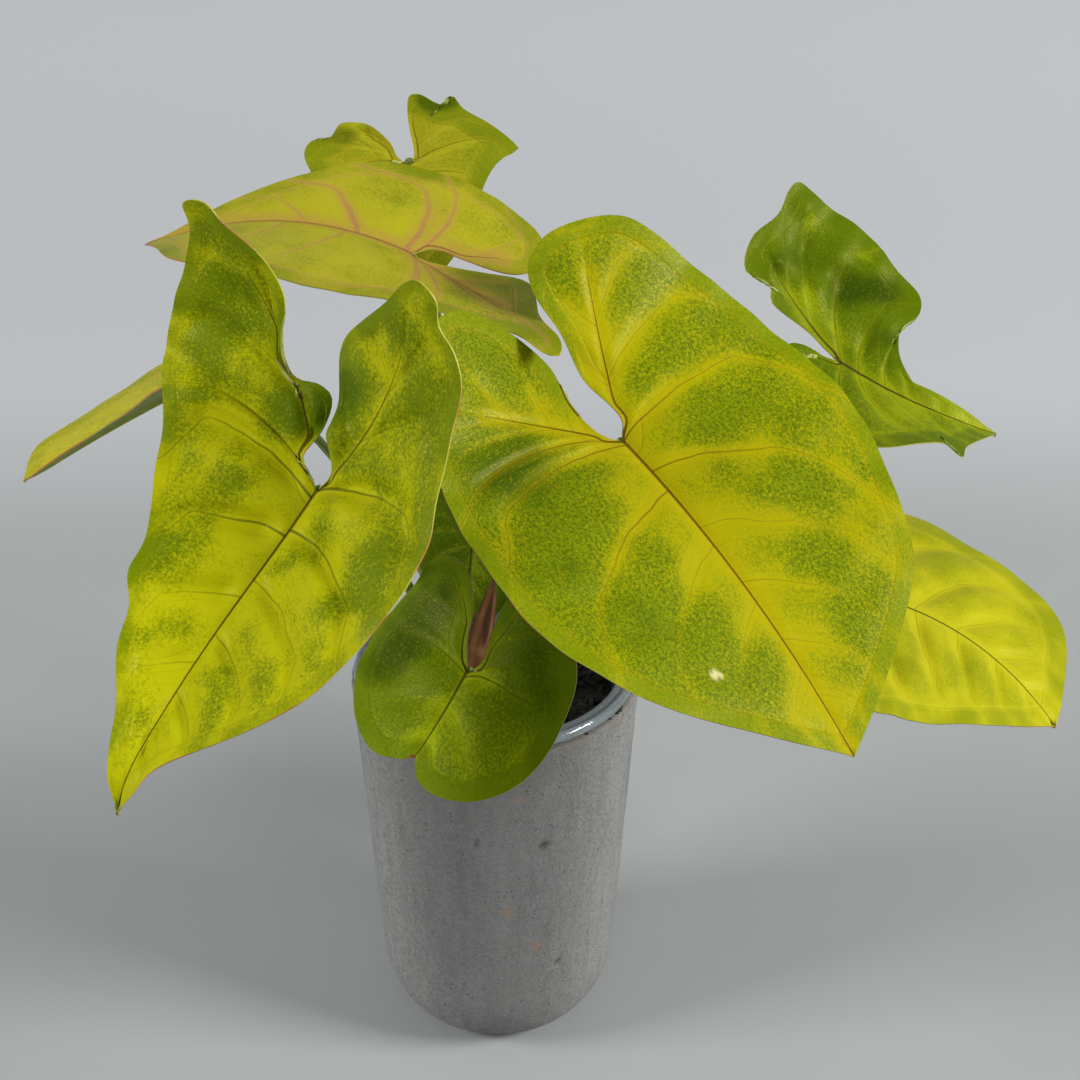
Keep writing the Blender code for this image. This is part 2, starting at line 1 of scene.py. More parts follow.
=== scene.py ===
"""Arrowhead plant in a small cement pot: the finished looks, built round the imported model.

Nine arrow-shaped blades on slender stalks, three short stems in dark soil, a clear plastic
pot with a rolled lip, and the tapered cement pot that holds it. Everything is one body.
Sizes are in millimetres until a mesh is written in metres.
"""

import sys
import logging
import math
from dataclasses import dataclass
from enum import Enum
from typing import Any, Callable, Iterable, Sequence

import bmesh
import bpy
import numpy as np
from mathutils import Matrix, Vector, noise


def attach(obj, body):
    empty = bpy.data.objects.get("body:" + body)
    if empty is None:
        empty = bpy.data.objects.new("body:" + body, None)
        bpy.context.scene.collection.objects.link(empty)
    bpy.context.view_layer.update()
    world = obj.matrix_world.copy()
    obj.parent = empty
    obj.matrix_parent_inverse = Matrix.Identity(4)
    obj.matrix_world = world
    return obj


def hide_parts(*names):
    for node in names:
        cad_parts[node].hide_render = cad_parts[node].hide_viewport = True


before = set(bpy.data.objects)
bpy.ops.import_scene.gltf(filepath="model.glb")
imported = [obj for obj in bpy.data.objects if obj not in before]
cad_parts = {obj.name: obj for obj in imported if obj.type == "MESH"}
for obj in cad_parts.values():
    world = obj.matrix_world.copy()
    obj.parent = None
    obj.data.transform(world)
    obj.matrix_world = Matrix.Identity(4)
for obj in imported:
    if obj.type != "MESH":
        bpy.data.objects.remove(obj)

LOG = logging.getLogger("arrowhead_plant")
MM = 0.001
UV_PER_MM = 0.01
BODY = "root"
Pair = tuple[float, float]
Triple = tuple[float, float, float]
Colour = Triple
Outline = tuple[Pair, ...]
Node = bpy.types.Node
NodeSocket = bpy.types.NodeSocket
Sockets = dict[str, NodeSocket]
Material = bpy.types.Material
Piece = bpy.types.Object
BMesh = bmesh.types.BMesh


# Shader graphs


class Graph:
    """Adds nodes to one tree and links them."""

    def __init__(self, tree: bpy.types.NodeTree) -> None:
        """Keep the tree to work in."""
        self.tree = tree

    def put(self, socket: NodeSocket, value: Any) -> None:
        """Feed a socket from another socket, a number or a colour.

        Args:
            socket: The input to feed.
            value: An output socket, a number, a vector or a colour.
        """
        if isinstance(value, NodeSocket):
            self.tree.links.new(value, socket)
        elif socket.type == "RGBA":
            socket.default_value = (*value, 1.0)
        else:
            socket.default_value = value

    def add(self, kind: str, inputs: dict[Any, Any] | None = None, **settings: Any) -> Node:
        """Add one node.

        Args:
            kind: The node's Blender type.
            inputs: What feeds each input, by name or by number.
            settings: The node's own properties.

        Returns:
            The new node.
        """
        node = self.tree.nodes.new(kind)
        for name, value in settings.items():
            setattr(node, name, value)
        for key, value in (inputs or {}).items():
            self.put(node.inputs[key], value)
        return node

    def math(self, operation: str, first: Any, second: Any = 0.0, third: Any = 0.0) -> NodeSocket:
        """Result of one Math node.

        Args:
            operation: The Math operation.
            first: First value.
            second: Second value.
            third: Third value.

        Returns:
            The value's socket.
        """
        node = self.add("ShaderNodeMath", {0: first, 1: second, 2: third}, operation=operation)
        return node.outputs[0]

    def ease(self, value: Any, low: Any, high: Any, to_low: Any = 0.0, to_high: Any = 1.0) -> NodeSocket:
        """Smooth step of a value between two limits.

        Args:
            value: What is mapped.
            low: Value that gives to_low.
            high: Value that gives to_high.
            to_low: Result at the low limit.
            to_high: Result at the high limit.

        Returns:
            The mapped value's socket.
        """
        node = self.add(
            "ShaderNodeMapRange",
            {0: value, 1: low, 2: high, 3: to_low, 4: to_high},
            interpolation_type="SMOOTHSTEP",
        )
        return node.outputs[0]

    def mix(self, factor: Any, first: Any, second: Any) -> NodeSocket:
        """Mix of two colours.

        Args:
            factor: Share of the second colour.
            first: First colour.
            second: Second colour.

        Returns:
            The mixed colour's socket.
        """
        return self.add("ShaderNodeMix", {0: factor, 6: first, 7: second}, data_type="RGBA").outputs[2]

    def flat(self) -> NodeSocket:
        """Coordinates of the piece laid flat."""
        return self.add("ShaderNodeUVMap", uv_map="flat").outputs[0]

    def solid(self) -> NodeSocket:
        """Coordinates in the object's own space."""
        return self.add("ShaderNodeTexCoord").outputs["Object"]

    def attribute(self, name: str) -> NodeSocket:
        """Value of one of the mesh's own attributes."""
        return self.add("ShaderNodeAttribute", attribute_name=name).outputs["Fac"]

    def noise(self, place: Any, scale: float, detail: float = 2.0, rough: float = 0.5) -> NodeSocket:
        """Cloudy noise from 0 to 1.

        Args:
            place: Coordinates.
            scale: Patches per unit.
            detail: Octaves.
            rough: Weight of the finer octaves.

        Returns:
            The noise value's socket.
        """
        node = self.add(
            "ShaderNodeTexNoise",
            {"Vector": place, "Scale": scale, "Detail": detail, "Roughness": rough},
        )
        return node.outputs[0]

    def cells(self, place: Any, scale: float, feature: str = "F1") -> Node:
        """Cell pattern.

        Args:
            place: Coordinates.
            scale: Cells per unit.
            feature: Which measure of the cells it gives.

        Returns:
            The Voronoi node.
        """
        return self.add("ShaderNodeTexVoronoi", {"Vector": place, "Scale": scale}, feature=feature)

    def stretch(self, place: Any, size: Sequence[float]) -> NodeSocket:
        """Coordinates with their own scale on each axis."""
        return self.add("ShaderNodeMapping", {"Vector": place, "Scale": size}).outputs[0]

    def use(self, group: bpy.types.NodeTree, inputs: dict[str, Any]) -> Sockets:
        """Place a node group.

        Args:
            group: The group.
            inputs: What feeds each input, by name.

        Returns:
            The group's outputs by name.
        """
        node = self.add("ShaderNodeGroup", node_tree=group)
        for name, value in inputs.items():
            self.put(node.inputs[name], value)
        return {socket.name: socket for socket in node.outputs}


class Socket(Enum):
    """Kinds of group socket."""

    VALUE = "NodeSocketFloat"
    VECTOR = "NodeSocketVector"


def node_group(
    name: str,
    inputs: dict[str, Socket],
    outputs: dict[str, Socket],
    fill: Callable[[Graph, Sockets], Sockets],
) -> bpy.types.NodeTree:
    """Build a shader node group once.

    Args:
        name: The group's name.
        inputs: Named inputs.
        outputs: Named outputs.
        fill: Makes the nodes from the inputs and returns what feeds each output.

    Returns:
        The group.
    """
    group = bpy.data.node_groups.get(name)
    if group:
        return group
    group = bpy.data.node_groups.new(name, "ShaderNodeTree")
    for label, kind in inputs.items():
        group.interface.new_socket(label, in_out="INPUT", socket_type=kind.value)
    for label, kind in outputs.items():
        group.interface.new_socket(label, in_out="OUTPUT", socket_type=kind.value)
    graph = Graph(group)
    entry = graph.add("NodeGroupInput")
    leave = graph.add("NodeGroupOutput")
    given = {label: entry.outputs[label] for label in inputs}
    for label, socket in fill(graph, given).items():
        graph.put(leave.inputs[label], socket)
    return group


def vein_group() -> bpy.types.NodeTree:
    """Masks and relief of ribs, side veins and the vein inside the margin.

    Returns:
        The group.
    """

    def fill(g: Graph, i: Sockets) -> Sockets:
        """Each mask comes from a distance in millimetres.

        Args:
            g: The group's graph.
            i: Its inputs by name.

        Returns:
            What feeds each output.
        """
        wander = g.math("SUBTRACT", g.noise(i["Place"], 9.0, 1.0), 0.5)
        phase = g.math("MULTIPLY_ADD", wander, i["Wander"], i["Phase"])
        turn = g.math("ABSOLUTE", g.math("SUBTRACT", g.math("FRACT", g.math("ADD", phase, 0.5)), 0.5))
        side = g.math("MULTIPLY", turn, i["Gap"])
        room = g.math("MULTIPLY", i["Gap"], 0.14)
        width = g.math("MULTIPLY", i["Side Width"], g.math("MULTIPLY_ADD", i["Strength"], 0.6, 0.4))
        half = g.math("MINIMUM", width, room)
        line = g.ease(side, g.math("MULTIPLY", half, 0.35), half, 1.0, 0.0)
        rib = g.ease(i["Rib"], g.math("MULTIPLY", i["Rib Width"], 0.45), i["Rib Width"], 1.0, 0.0)
        hem = g.math("ABSOLUTE", g.math("SUBTRACT", i["Edge"], i["Hem"]))
        hem_line = g.ease(hem, 0.1, 0.5, 1.0, 0.0)
        fine_phase = g.math("MULTIPLY_ADD", wander, 1.6, g.math("MULTIPLY", i["Phase"], 4.0))
        fine_turn = g.math("ABSOLUTE", g.math("SUBTRACT", g.math("FRACT", fine_phase), 0.5))
        fine = g.ease(g.math("MULTIPLY", fine_turn, g.math("MULTIPLY", i["Gap"], 0.25)), 0.06, 0.24, 1.0, 0.0)
        near_rib = g.ease(i["Rib"], 0.3, i["Halo Width"], 1.0, 0.0)
        near_side = g.ease(side, 0.1, g.math("MULTIPLY", i["Halo Width"], i["Strength"]), 1.0, 0.0)
        near_hem = g.ease(hem, 0.2, 1.6, 0.3, 0.0)
        halo = g.math("MAXIMUM", near_rib, g.math("MULTIPLY", near_side, i["Strength"]))
        between = g.math("DIVIDE", side, g.math("MAXIMUM", i["Gap"], 1.0))
        between = g.math("MULTIPLY", g.ease(between, 0.0, 0.4), 0.45)
        spread = g.math("MULTIPLY_ADD", g.ease(i["Rib"], 1.0, i["Spread Width"]), 0.55, between)
        groove = g.math("ADD", g.math("MULTIPLY", line, g.math("MULTIPLY", i["Strength"], 0.5)), rib)
        groove = g.math("ADD", groove, g.math("MULTIPLY", fine, 0.12))
        groove = g.math("ADD", groove, g.math("MULTIPLY", hem_line, 0.3))
        return {
            "Rib": rib,
            "Side": line,
            "Fine": fine,
            "Hem": hem_line,
            "Halo": g.math("MAXIMUM", halo, near_hem),
            "Spread": spread,
            "Height": g.math("SUBTRACT", 1.0, groove),
        }

    names = (
        "Phase", "Gap", "Strength", "Rib", "Rib Width", "Edge",
        "Side Width", "Halo Width", "Hem", "Wander", "Spread Width",
    )
    outs = ("Rib", "Side", "Fine", "Hem", "Halo", "Spread", "Height")
    return node_group(
        "blade_veins",
        {"Place": Socket.VECTOR, **{name: Socket.VALUE for name in names}},
        {name: Socket.VALUE for name in outs},
        fill,
    )


def mottle_group() -> bpy.types.NodeTree:
    """Share of green in a blade, with a mosaic of tiny cells at its edges.

    Returns:
        The group.
    """

    def fill(g: Graph, i: Sockets) -> Sockets:
        """Clouds, fine clouds and cells are added to a bias.

        Args:
            g: The group's graph.
            i: Its inputs by name.

        Returns:
            What feeds each output.
        """
        place = g.add("ShaderNodeVectorMath", {0: i["Place"], 1: i["Seed"]}, operation="ADD").outputs[0]
        cloud = g.math("SUBTRACT", g.noise(place, 7.0, 2.0, 0.5), 0.5)
        grain = g.math("SUBTRACT", g.noise(place, 110.0, 3.0, 0.65), 0.5)
        mosaic = g.cells(place, 210.0)
        chance = g.add("ShaderNodeSeparateColor", {0: mosaic.outputs["Color"]}).outputs[0]
        speck = g.math("SUBTRACT", chance, 0.5)
        net = g.cells(place, 115.0, "DISTANCE_TO_EDGE").outputs["Distance"]
        lines = g.ease(net, 0.03, 0.24, 1.0, 0.0)
        loose = g.math("SUBTRACT", 1.0, i["Calm"])
        level = g.math("MULTIPLY_ADD", cloud, i["Clouds"], i["Bias"])
        small = g.math("MULTIPLY_ADD", grain, i["Grain"], g.math("MULTIPLY", speck, i["Specks"]))
        green = g.ease(g.math("MULTIPLY_ADD", small, loose, level), 0.05, 0.95)
        gate = g.math("MULTIPLY", g.ease(level, 0.25, 0.85), loose)
        broken = g.ease(grain, -0.14, 0.10)
        dots = g.math("MULTIPLY", g.ease(speck, 0.18, 0.34), broken)
        dark = g.math("MULTIPLY", g.math("MAXIMUM", g.math("MULTIPLY", lines, broken), dots), gate)
        pale = g.math("MULTIPLY", g.ease(speck, -0.30, -0.42), gate)
        return {
            "Green": green,
            "Dark": g.math("MULTIPLY", dark, i["Net"]),
            "Pale": g.math("MULTIPLY", pale, g.math("MULTIPLY", i["Net"], 0.45)),
            "Net": lines,
            "Cloud": cloud,
        }

    names = ("Bias", "Calm", "Clouds", "Grain", "Specks", "Net")
    return node_group(
        "blade_mottling",
        {"Place": Socket.VECTOR, "Seed": Socket.VECTOR, **{name: Socket.VALUE for name in names}},
        {name: Socket.VALUE for name in ("Green", "Dark", "Pale", "Net", "Cloud")},
        fill,
    )


def fibre_group() -> bpy.types.NodeTree:
    """Long streaks along one direction, for stalks and dry tissue.

    Returns:
        The group.
    """

    def fill(g: Graph, i: Sockets) -> Sockets:
        """Noise is stretched along the second axis.

        Args:
            g: The group's graph.
            i: Its inputs by name.

        Returns:
            What feeds each output.
        """
        streaks = g.noise(g.stretch(i["Place"], (1.0, 0.06, 1.0)), 60.0, 3.0)
        blots = g.noise(i["Place"], 9.0, 3.0)
        return {"Streaks": streaks, "Blots": blots}

    return node_group(
        "fibres",
        {"Place": Socket.VECTOR},
        {"Streaks": Socket.VALUE, "Blots": Socket.VALUE},
        fill,
    )


def grit_group() -> bpy.types.NodeTree:
    """Mineral grain with pits and stains, for cement and soil.

    Returns:
        The group.
    """

    def fill(g: Graph, i: Sockets) -> Sockets:
        """Grain at two sizes, pits from sparse cells, soft stains.

        Args:
            g: The group's graph.
            i: Its inputs by name.

        Returns:
            What feeds each output.
        """
        place = g.add("ShaderNodeVectorMath", {0: i["Place"]}, operation="SCALE")
        g.put(place.inputs["Scale"], i["Scale"])
        place = place.outputs[0]
        fine = g.noise(place, 1.6, 3.0, 0.7)
        coarse = g.noise(place, 0.5, 3.0, 0.6)
        pits = g.cells(place, 0.42)
        chance = g.add("ShaderNodeSeparateColor", {0: pits.outputs["Color"]}).outputs[1]
        holes = g.ease(pits.outputs["Distance"], 0.10, 0.22, 1.0, 0.0)
        deep = g.math("MULTIPLY", holes, g.ease(chance, 0.84, 0.9))
        stains = g.noise(place, 0.09, 4.0, 0.6)
        return {"Fine": fine, "Coarse": coarse, "Pits": deep, "Stains": stains}

    outs = ("Fine", "Coarse", "Pits", "Stains")
    return node_group(
        "grit",
        {"Place": Socket.VECTOR, "Scale": Socket.VALUE},
        {name: Socket.VALUE for name in outs},
        fill,
    )


def new_material(name: str) -> tuple[Material, Graph, Node]:
    """Start a material with its Principled shader.

    Args:
        name: The material's name.

    Returns:
        The material, its graph and the shader node.
    """
    made = bpy.data.materials.new(name)
    made.use_nodes = True
    return made, Graph(made.node_tree), made.node_tree.nodes["Principled BSDF"]


def constants(shader: Node, values: dict[str, Any]) -> None:
    """Set sockets that are the same all over the surface.

    Args:
        shader: The Principled shader.
        values: Values by socket name.
    """
    for name, value in values.items():
        shader.inputs[name].default_value = value


def bump(g: Graph, shader: Node, height: Any, distance: float) -> None:
    """Feed the shader's normal from a height.

    Args:
        g: The material's graph.
        shader: The Principled shader.
        height: Height socket.
        distance: Height in metres of one unit.
    """
    node = g.add("ShaderNodeBump", {"Height": height, "Distance": distance, "Strength": 1.0})
    g.put(shader.inputs["Normal"], node.outputs[0])


def vein_inputs(g: Graph, place: NodeSocket, widths: dict[str, Any]) -> dict[str, Any]:
    """Inputs of the vein group for a blade.

    Args:
        g: The material's graph.
        place: Flat coordinates.
        widths: Widths and shares that the finish sets.

    Returns:
        What feeds each input, by name.
    """
    carried = {"Phase": "phase", "Gap": "gap", "Strength": "strength", "Rib": "rib", "Edge": "edge"}
    return {"Place": place, **{name: g.attribute(key) for name, key in carried.items()}, **widths}


class Finish:
    """A named surface that a piece can wear."""

    def material(self) -> Material:
        """The finish as a Blender material."""
        raise NotImplementedError


@dataclass(frozen=True)
class BladeFinish(Finish):
    """Upper face of a blade.

    Colours are linear. Shares run from 0 to 1, lengths are millimetres.
    """

    name: str
    yellow: Colour = (0.27, 0.235, 0.001)
    green: Colour = (0.125, 0.165, 0.001)
    deep: Colour = (0.042, 0.075, 0.0005)
    rib: Colour = (0.12, 0.045, 0.003)
    side: Colour = (0.17, 0.10, 0.002)
    halo: Colour = (0.31, 0.255, 0.001)
    scar: Colour = (0.50, 0.46, 0.20)
    burn: Colour = (0.16, 0.07, 0.025)
    bias: float = 0.1
    spread: float = 0.8
    spread_width: float = 18.0
    band: float = 0.25
    clouds: float = 1.0
    grain: float = 1.1
    specks: float = 0.7
    net: float = 0.5
    halo_share: float = 0.6
    halo_width: float = 3.0
    side_width: float = 0.36
    side_share: float = 0.8
    fine_share: float = 0.10
    hem: float = 5.0
    hem_share: float = 0.12
    wander: float = 0.15
    feather: float = 0.0
    roughness: float = 0.36
    coat: float = 0.012
    relief: float = 0.00020
    seed: Triple = (0.0, 0.0, 0.0)

    def material(self) -> Material:
        """Build the finish.

        Returns:
            The material.
        """
        made, g, shader = new_material(self.name)
        place = g.flat()
        veins = g.use(vein_group(), vein_inputs(g, place, {
            "Rib Width": g.attribute("rib_width"),
            "Side Width": self.side_width,
            "Halo Width": self.halo_width,
            "Hem": self.hem,
            "Wander": self.wander,
            "Spread Width": self.spread_width,
        }))
        halo = g.math("MULTIPLY", veins["Halo"], self.halo_share)
        band = g.ease(g.attribute("edge"), self.hem - 1.5, self.hem + 0.8, 1.0, 0.0)
        patches = g.attribute("green")
        bias = g.math("SUBTRACT", g.math("ADD", patches, self.bias), g.math("MULTIPLY", halo, 0.5))
        bias = g.math("MULTIPLY_ADD", veins["Spread"], self.spread, bias)
        bias = g.math("MULTIPLY_ADD", band, self.band, bias)
        mottle = g.use(mottle_group(), {
            "Place": place,
            "Seed": self.seed,
            "Bias": bias,
            "Calm": g.math("MAXIMUM", g.math("MULTIPLY", band, 0.55), g.math("MULTIPLY", veins["Rib"], 0.8)),
            "Clouds": self.clouds,
            "Grain": self.grain,
            "Specks": self.specks,
            "Net": self.net,
        })
        leafy = g.mix(mottle["Green"], self.yellow, self.green)
        dark = g.ease(g.math("ADD", patches, g.math("MULTIPLY", mottle["Cloud"], 0.8)), 0.35, 1.0)
        leafy = g.mix(g.math("MULTIPLY", dark, mottle["Green"]), leafy, self.deep)
        leafy = g.mix(mottle["Pale"], leafy, self.yellow)
        leafy = g.mix(mottle["Dark"], leafy, self.deep)
        leafy = g.mix(g.math("MULTIPLY", halo, 0.55), leafy, self.halo)
        feathered = g.math("MULTIPLY", g.noise(place, 45.0, 3.0), self.feather)
        wash = g.math("MULTIPLY", veins["Halo"], feathered)
        side = g.math("MULTIPLY", veins["Side"], g.math("MULTIPLY", g.attribute("strength"), self.side_share))
        fine = g.math("MULTIPLY", veins["Fine"], self.fine_share)
        hem = g.math("MULTIPLY", veins["Hem"], self.hem_share)
        for share in (wash, fine, hem, side):
            leafy = g.mix(share, leafy, self.side)
        leafy = g.mix(g.math("MULTIPLY", veins["Rib"], 0.9), leafy, self.rib)
        leafy = g.mix(g.attribute("scar"), leafy, self.scar)
        leafy = g.mix(g.attribute("burn"), leafy, self.burn)
        g.put(shader.inputs["Base Color"], leafy)
        g.put(shader.inputs["Roughness"], g.math("MULTIPLY_ADD", mottle["Net"], 0.12, self.roughness))
        height = g.math("MULTIPLY_ADD", mottle["Net"], -0.10, veins["Height"])
        bump(g, shader, height, self.relief)
        constants(shader, {
            "Coat Weight": self.coat,
            "Coat Roughness": 0.28,
            "Specular IOR Level": 0.13,
            "Specular Tint": (1.0, 0.93, 0.12, 1.0),
        })
        return made


@dataclass(frozen=True)
class UndersideFinish(Finish):
    """Paler, duller lower face of a blade."""

    name: str
    ground: Colour = (0.20, 0.25, 0.02)
    rib: Colour = (0.30, 0.30, 0.05)
    roughness: float = 0.58

    def material(self) -> Material:
        """Build the finish.

        Returns:
            The material.
        """
        made, g, shader = new_material(self.name)
        place = g.flat()
        veins = g.use(vein_group(), vein_inputs(g, place, {
            "Rib Width": g.math("MULTIPLY", g.attribute("rib_width"), 1.6),
            "Side Width": 0.7,
            "Halo Width": 3.0,
            "Hem": 3.6,
            "Wander": 0.15,
            "Spread Width": 15.0,
        }))
        clouds = g.noise(place, 8.0, 3.0)
        dull = tuple(0.7 * part for part in self.ground)
        colour = g.mix(g.ease(clouds, 0.3, 0.7, 0.0, 0.5), self.ground, dull)
        lines = g.math("MAXIMUM", veins["Rib"], g.math("MULTIPLY", veins["Side"], 0.8))
        colour = g.mix(lines, colour, self.rib)
        g.put(shader.inputs["Base Color"], colour)
        g.put(shader.inputs["Roughness"], g.math("MULTIPLY_ADD", clouds, 0.15, self.roughness - 0.07))
        raised = g.math("SUBTRACT", 1.0, veins["Height"])
        bump(g, shader, g.math("MULTIPLY_ADD", g.noise(place, 180.0, 2.0), 0.2, raised), 0.00025)
        return made


@dataclass(frozen=True)
class MarginFinish(Finish):
    """Cut edge of a blade: pale, with a warm tinge here and there."""

    name: str = "blade_margin"
    pale: Colour = (0.34, 0.33, 0.03)
    warm: Colour = (0.34, 0.11, 0.03)

    def material(self) -> Material:
        """Build the finish.

        Returns:
            The material.
        """
        made, g, shader = new_material(self.name)
        place = g.flat()
        tinge = g.ease(g.noise(place, 5.0, 2.0), 0.42, 0.62)
        g.put(shader.inputs["Base Color"], g.mix(tinge, self.pale, self.warm))
        g.put(shader.inputs["Roughness"], g.math("MULTIPLY_ADD", tinge, 0.1, 0.45))
        return made


@dataclass(frozen=True)
class StalkFinish(Finish):
    """Fresh green tissue with fine streaks, for stalks and stems."""

    name: str
    light: Colour = (0.20, 0.26, 0.03)
    dark: Colour = (0.08, 0.13, 0.012)
    blush: Colour = (0.30, 0.12, 0.05)
    blush_share: float = 0.25
    roughness: float = 0.42

    def material(self) -> Material:
        """Build the finish.

        Returns:
            The material.
        """
        made, g, shader = new_material(self.name)
        place = g.flat()
        fibres = g.use(fibre_group(), {"Place": place})
        colour = g.mix(g.ease(fibres["Streaks"], 0.35, 0.65), self.light, self.dark)
        blush = g.math("MULTIPLY", g.ease(fibres["Blots"], 0.52, 0.75), self.blush_share)
        g.put(shader.inputs["Base Color"], g.mix(blush, colour, self.blush))
        rough = g.math("MULTIPLY_ADD", fibres["Streaks"], 0.16, self.roughness - 0.08)
        g.put(shader.inputs["Roughness"], rough)
        bump(g, shader, fibres["Streaks"], 0.0001)
        constants(shader, {"Coat Weight": 0.15, "Coat Roughness": 0.3})
        return made


@dataclass(frozen=True)
class DryFinish(Finish):
    """Papery brown tissue."""

    name: str = "dry_tissue"
    brown: Colour = (0.52, 0.20, 0.055)
    dark: Colour = (0.13, 0.04, 0.012)
    pale: Colour = (0.62, 0.33, 0.13)

    def material(self) -> Material:
        """Build the finish.

        Returns:
            The material.
        """
        made, g, shader = new_material(self.name)
        place = g.flat()
        fibres = g.use(fibre_group(), {"Place": place})
        colour = g.mix(g.ease(fibres["Streaks"], 0.32, 0.62), self.brown, self.dark)
        colour = g.mix(g.ease(fibres["Blots"], 0.5, 0.72, 0.0, 0.7), colour, self.pale)
        g.put(shader.inputs["Base Color"], colour)
        g.put(shader.inputs["Roughness"], g.math("MULTIPLY_ADD", fibres["Blots"], 0.2, 0.6))
        bump(g, shader, fibres["Streaks"], 0.0003)
        return made


@dataclass(frozen=True)
class CementFinish(Finish):
    """Grey cement with light and dark grains, pits, stains and upright streaks, and painted shade on its
    front.
    """

    name: str = "cement_grey"
    ground: Colour = (0.235, 0.232, 0.222)
    light: Colour = (0.42, 0.418, 0.405)
    dark: Colour = (0.088, 0.088, 0.086)
    warm: Colour = (0.21, 0.19, 0.15)
    small_pit: Colour = (0.035, 0.033, 0.03)
    hole: Colour = (0.03, 0.028, 0.025)
    rust: Colour = (0.30, 0.15, 0.06)
    damp: Colour = (0.16, 0.13, 0.10)

    def material(self) -> Material:
        """Build the finish.

        Returns:
            The material.
        """
        made, g, shader = new_material(self.name)
        place = g.solid()
        grit = g.use(grit_group(), {"Place": place, "Scale": 1500.0})
        upright = g.noise(g.stretch(place, (1.0, 1.0, 0.16)), 260.0, 3.0, 0.6)
        broad = g.noise(g.stretch(place, (1.0, 1.0, 0.25)), 45.0, 2.0)
        colour = g.mix(g.ease(grit["Coarse"], 0.36, 0.66), self.dark, self.light)
        colour = g.mix(0.75, colour, self.ground)
        colour = g.mix(g.ease(grit["Fine"], 0.54, 0.70, 0.0, 0.75), colour, self.light)
        colour = g.mix(g.ease(grit["Fine"], 0.46, 0.30, 0.0, 0.8), colour, self.dark)
        colour = g.mix(g.ease(upright, 0.5, 0.78, 0.0, 0.28), colour, self.light)
        colour = g.mix(g.ease(upright, 0.48, 0.28, 0.0, 0.35), colour, self.dark)
        colour = g.mix(g.ease(broad, 0.4, 0.7, 0.0, 0.3), colour, self.ground)
        colour = g.mix(g.ease(grit["Stains"], 0.56, 0.8, 0.0, 0.35), colour, self.warm)
        # Painted shade: the front of the pot, towards -Y, is mixed up to 62 % towards the dark colour.
        depth = g.add("ShaderNodeSeparateXYZ", {0: place}).outputs[1]
        colour = g.mix(g.ease(depth, -0.041, -0.016, 0.62, 0.0), colour, self.dark)
        colour = g.mix(g.math("MULTIPLY", grit["Pits"], 0.45), colour, self.small_pit)
        colour = g.mix(g.attribute("pit"), colour, self.hole)
        colour = g.mix(g.attribute("rust"), colour, self.rust)
        colour = g.mix(g.attribute("damp"), colour, self.damp)
        g.put(shader.inputs["Base Color"], colour)
        g.put(shader.inputs["Roughness"], g.math("MULTIPLY_ADD", grit["Fine"], 0.15, 0.8))
        height = g.math("MULTIPLY_ADD", grit["Coarse"], 0.6, grit["Fine"])
        height = g.math("SUBTRACT", height, g.math("MULTIPLY", grit["Pits"], 1.8))
        bump(g, shader, height, 0.0006)
        return made


@dataclass(frozen=True)
class PlasticFinish(Finish):
    """Clear plastic with a faint grey-green tint and fine scuffs."""

    name: str = "clear_plastic"
    tint: Colour = (0.36, 0.41, 0.43)
    dust: Colour = (0.5, 0.52, 0.5)

    def material(self) -> Material:
        """Build the finish.

        Returns:
            The material.
        """
        made, g, shader = new_material(self.name)
        place = g.solid()
        scuffs = g.noise(place, 900.0, 3.0)
        dust = g.noise(place, 120.0, 3.0)
        g.put(shader.inputs["Base Color"], g.mix(g.ease(dust, 0.5, 0.8, 0.0, 0.35), self.tint, self.dust))
        g.put(shader.inputs["Roughness"], g.ease(scuffs, 0.45, 0.8, 0.06, 0.22))
        bump(g, shader, scuffs, 0.00003)
        constants(shader, {"Transmission Weight": 0.75, "IOR": 1.46})
        return made


@dataclass(frozen=True)
class SoilFinish(Finish):
    """Near-black peat with a few brown and grey grains."""

    name: str = "dark_soil"
    dark: Colour = (0.006, 0.005, 0.004)
    brown: Colour = (0.045, 0.027, 0.015)
    pale: Colour = (0.13, 0.11, 0.09)

    def material(self) -> Material:
        """Build the finish.

        Returns:
            The material.
        """
        made, g, shader = new_material(self.name)
        place = g.solid()
        grit = g.use(grit_group(), {"Place": place, "Scale": 1300.0})
        colour = g.mix(g.ease(grit["Coarse"], 0.45, 0.75), self.dark, self.brown)
        colour = g.mix(g.ease(grit["Fine"], 0.66, 0.8, 0.0, 0.5), colour, self.pale)
        g.put(shader.inputs["Base Color"], colour)
        g.put(shader.inputs["Roughness"], g.math("MULTIPLY_ADD", grit["Fine"], 0.2, 0.75))
        bump(g, shader, grit["Coarse"], 0.0006)
        return made


# Mesh helpers


def polar(radius: float, angle: float, height: float) -> Vector:
    """Place at a distance from the Z axis, an angle in radians and a height."""
    return Vector((radius * math.cos(angle), radius * math.sin(angle), height))


def written(made: BMesh, name: str) -> bpy.types.Mesh:
    """Write a bmesh as a new mesh and free it.

    Args:
        made: The shape.
        name: The mesh's name.

    Returns:
        The mesh.
    """
    mesh = bpy.data.meshes.new(name)
    made.to_mesh(mesh)
    made.free()
    return mesh


def placed(name: str, data: bpy.types.ID) -> Piece:
    """Put a new object into the scene.

    Args:
        name: Its name.
        data: What it shows.

    Returns:
        The object.
    """
    thing = bpy.data.objects.new(name, data)
    bpy.context.scene.collection.objects.link(thing)
    return thing


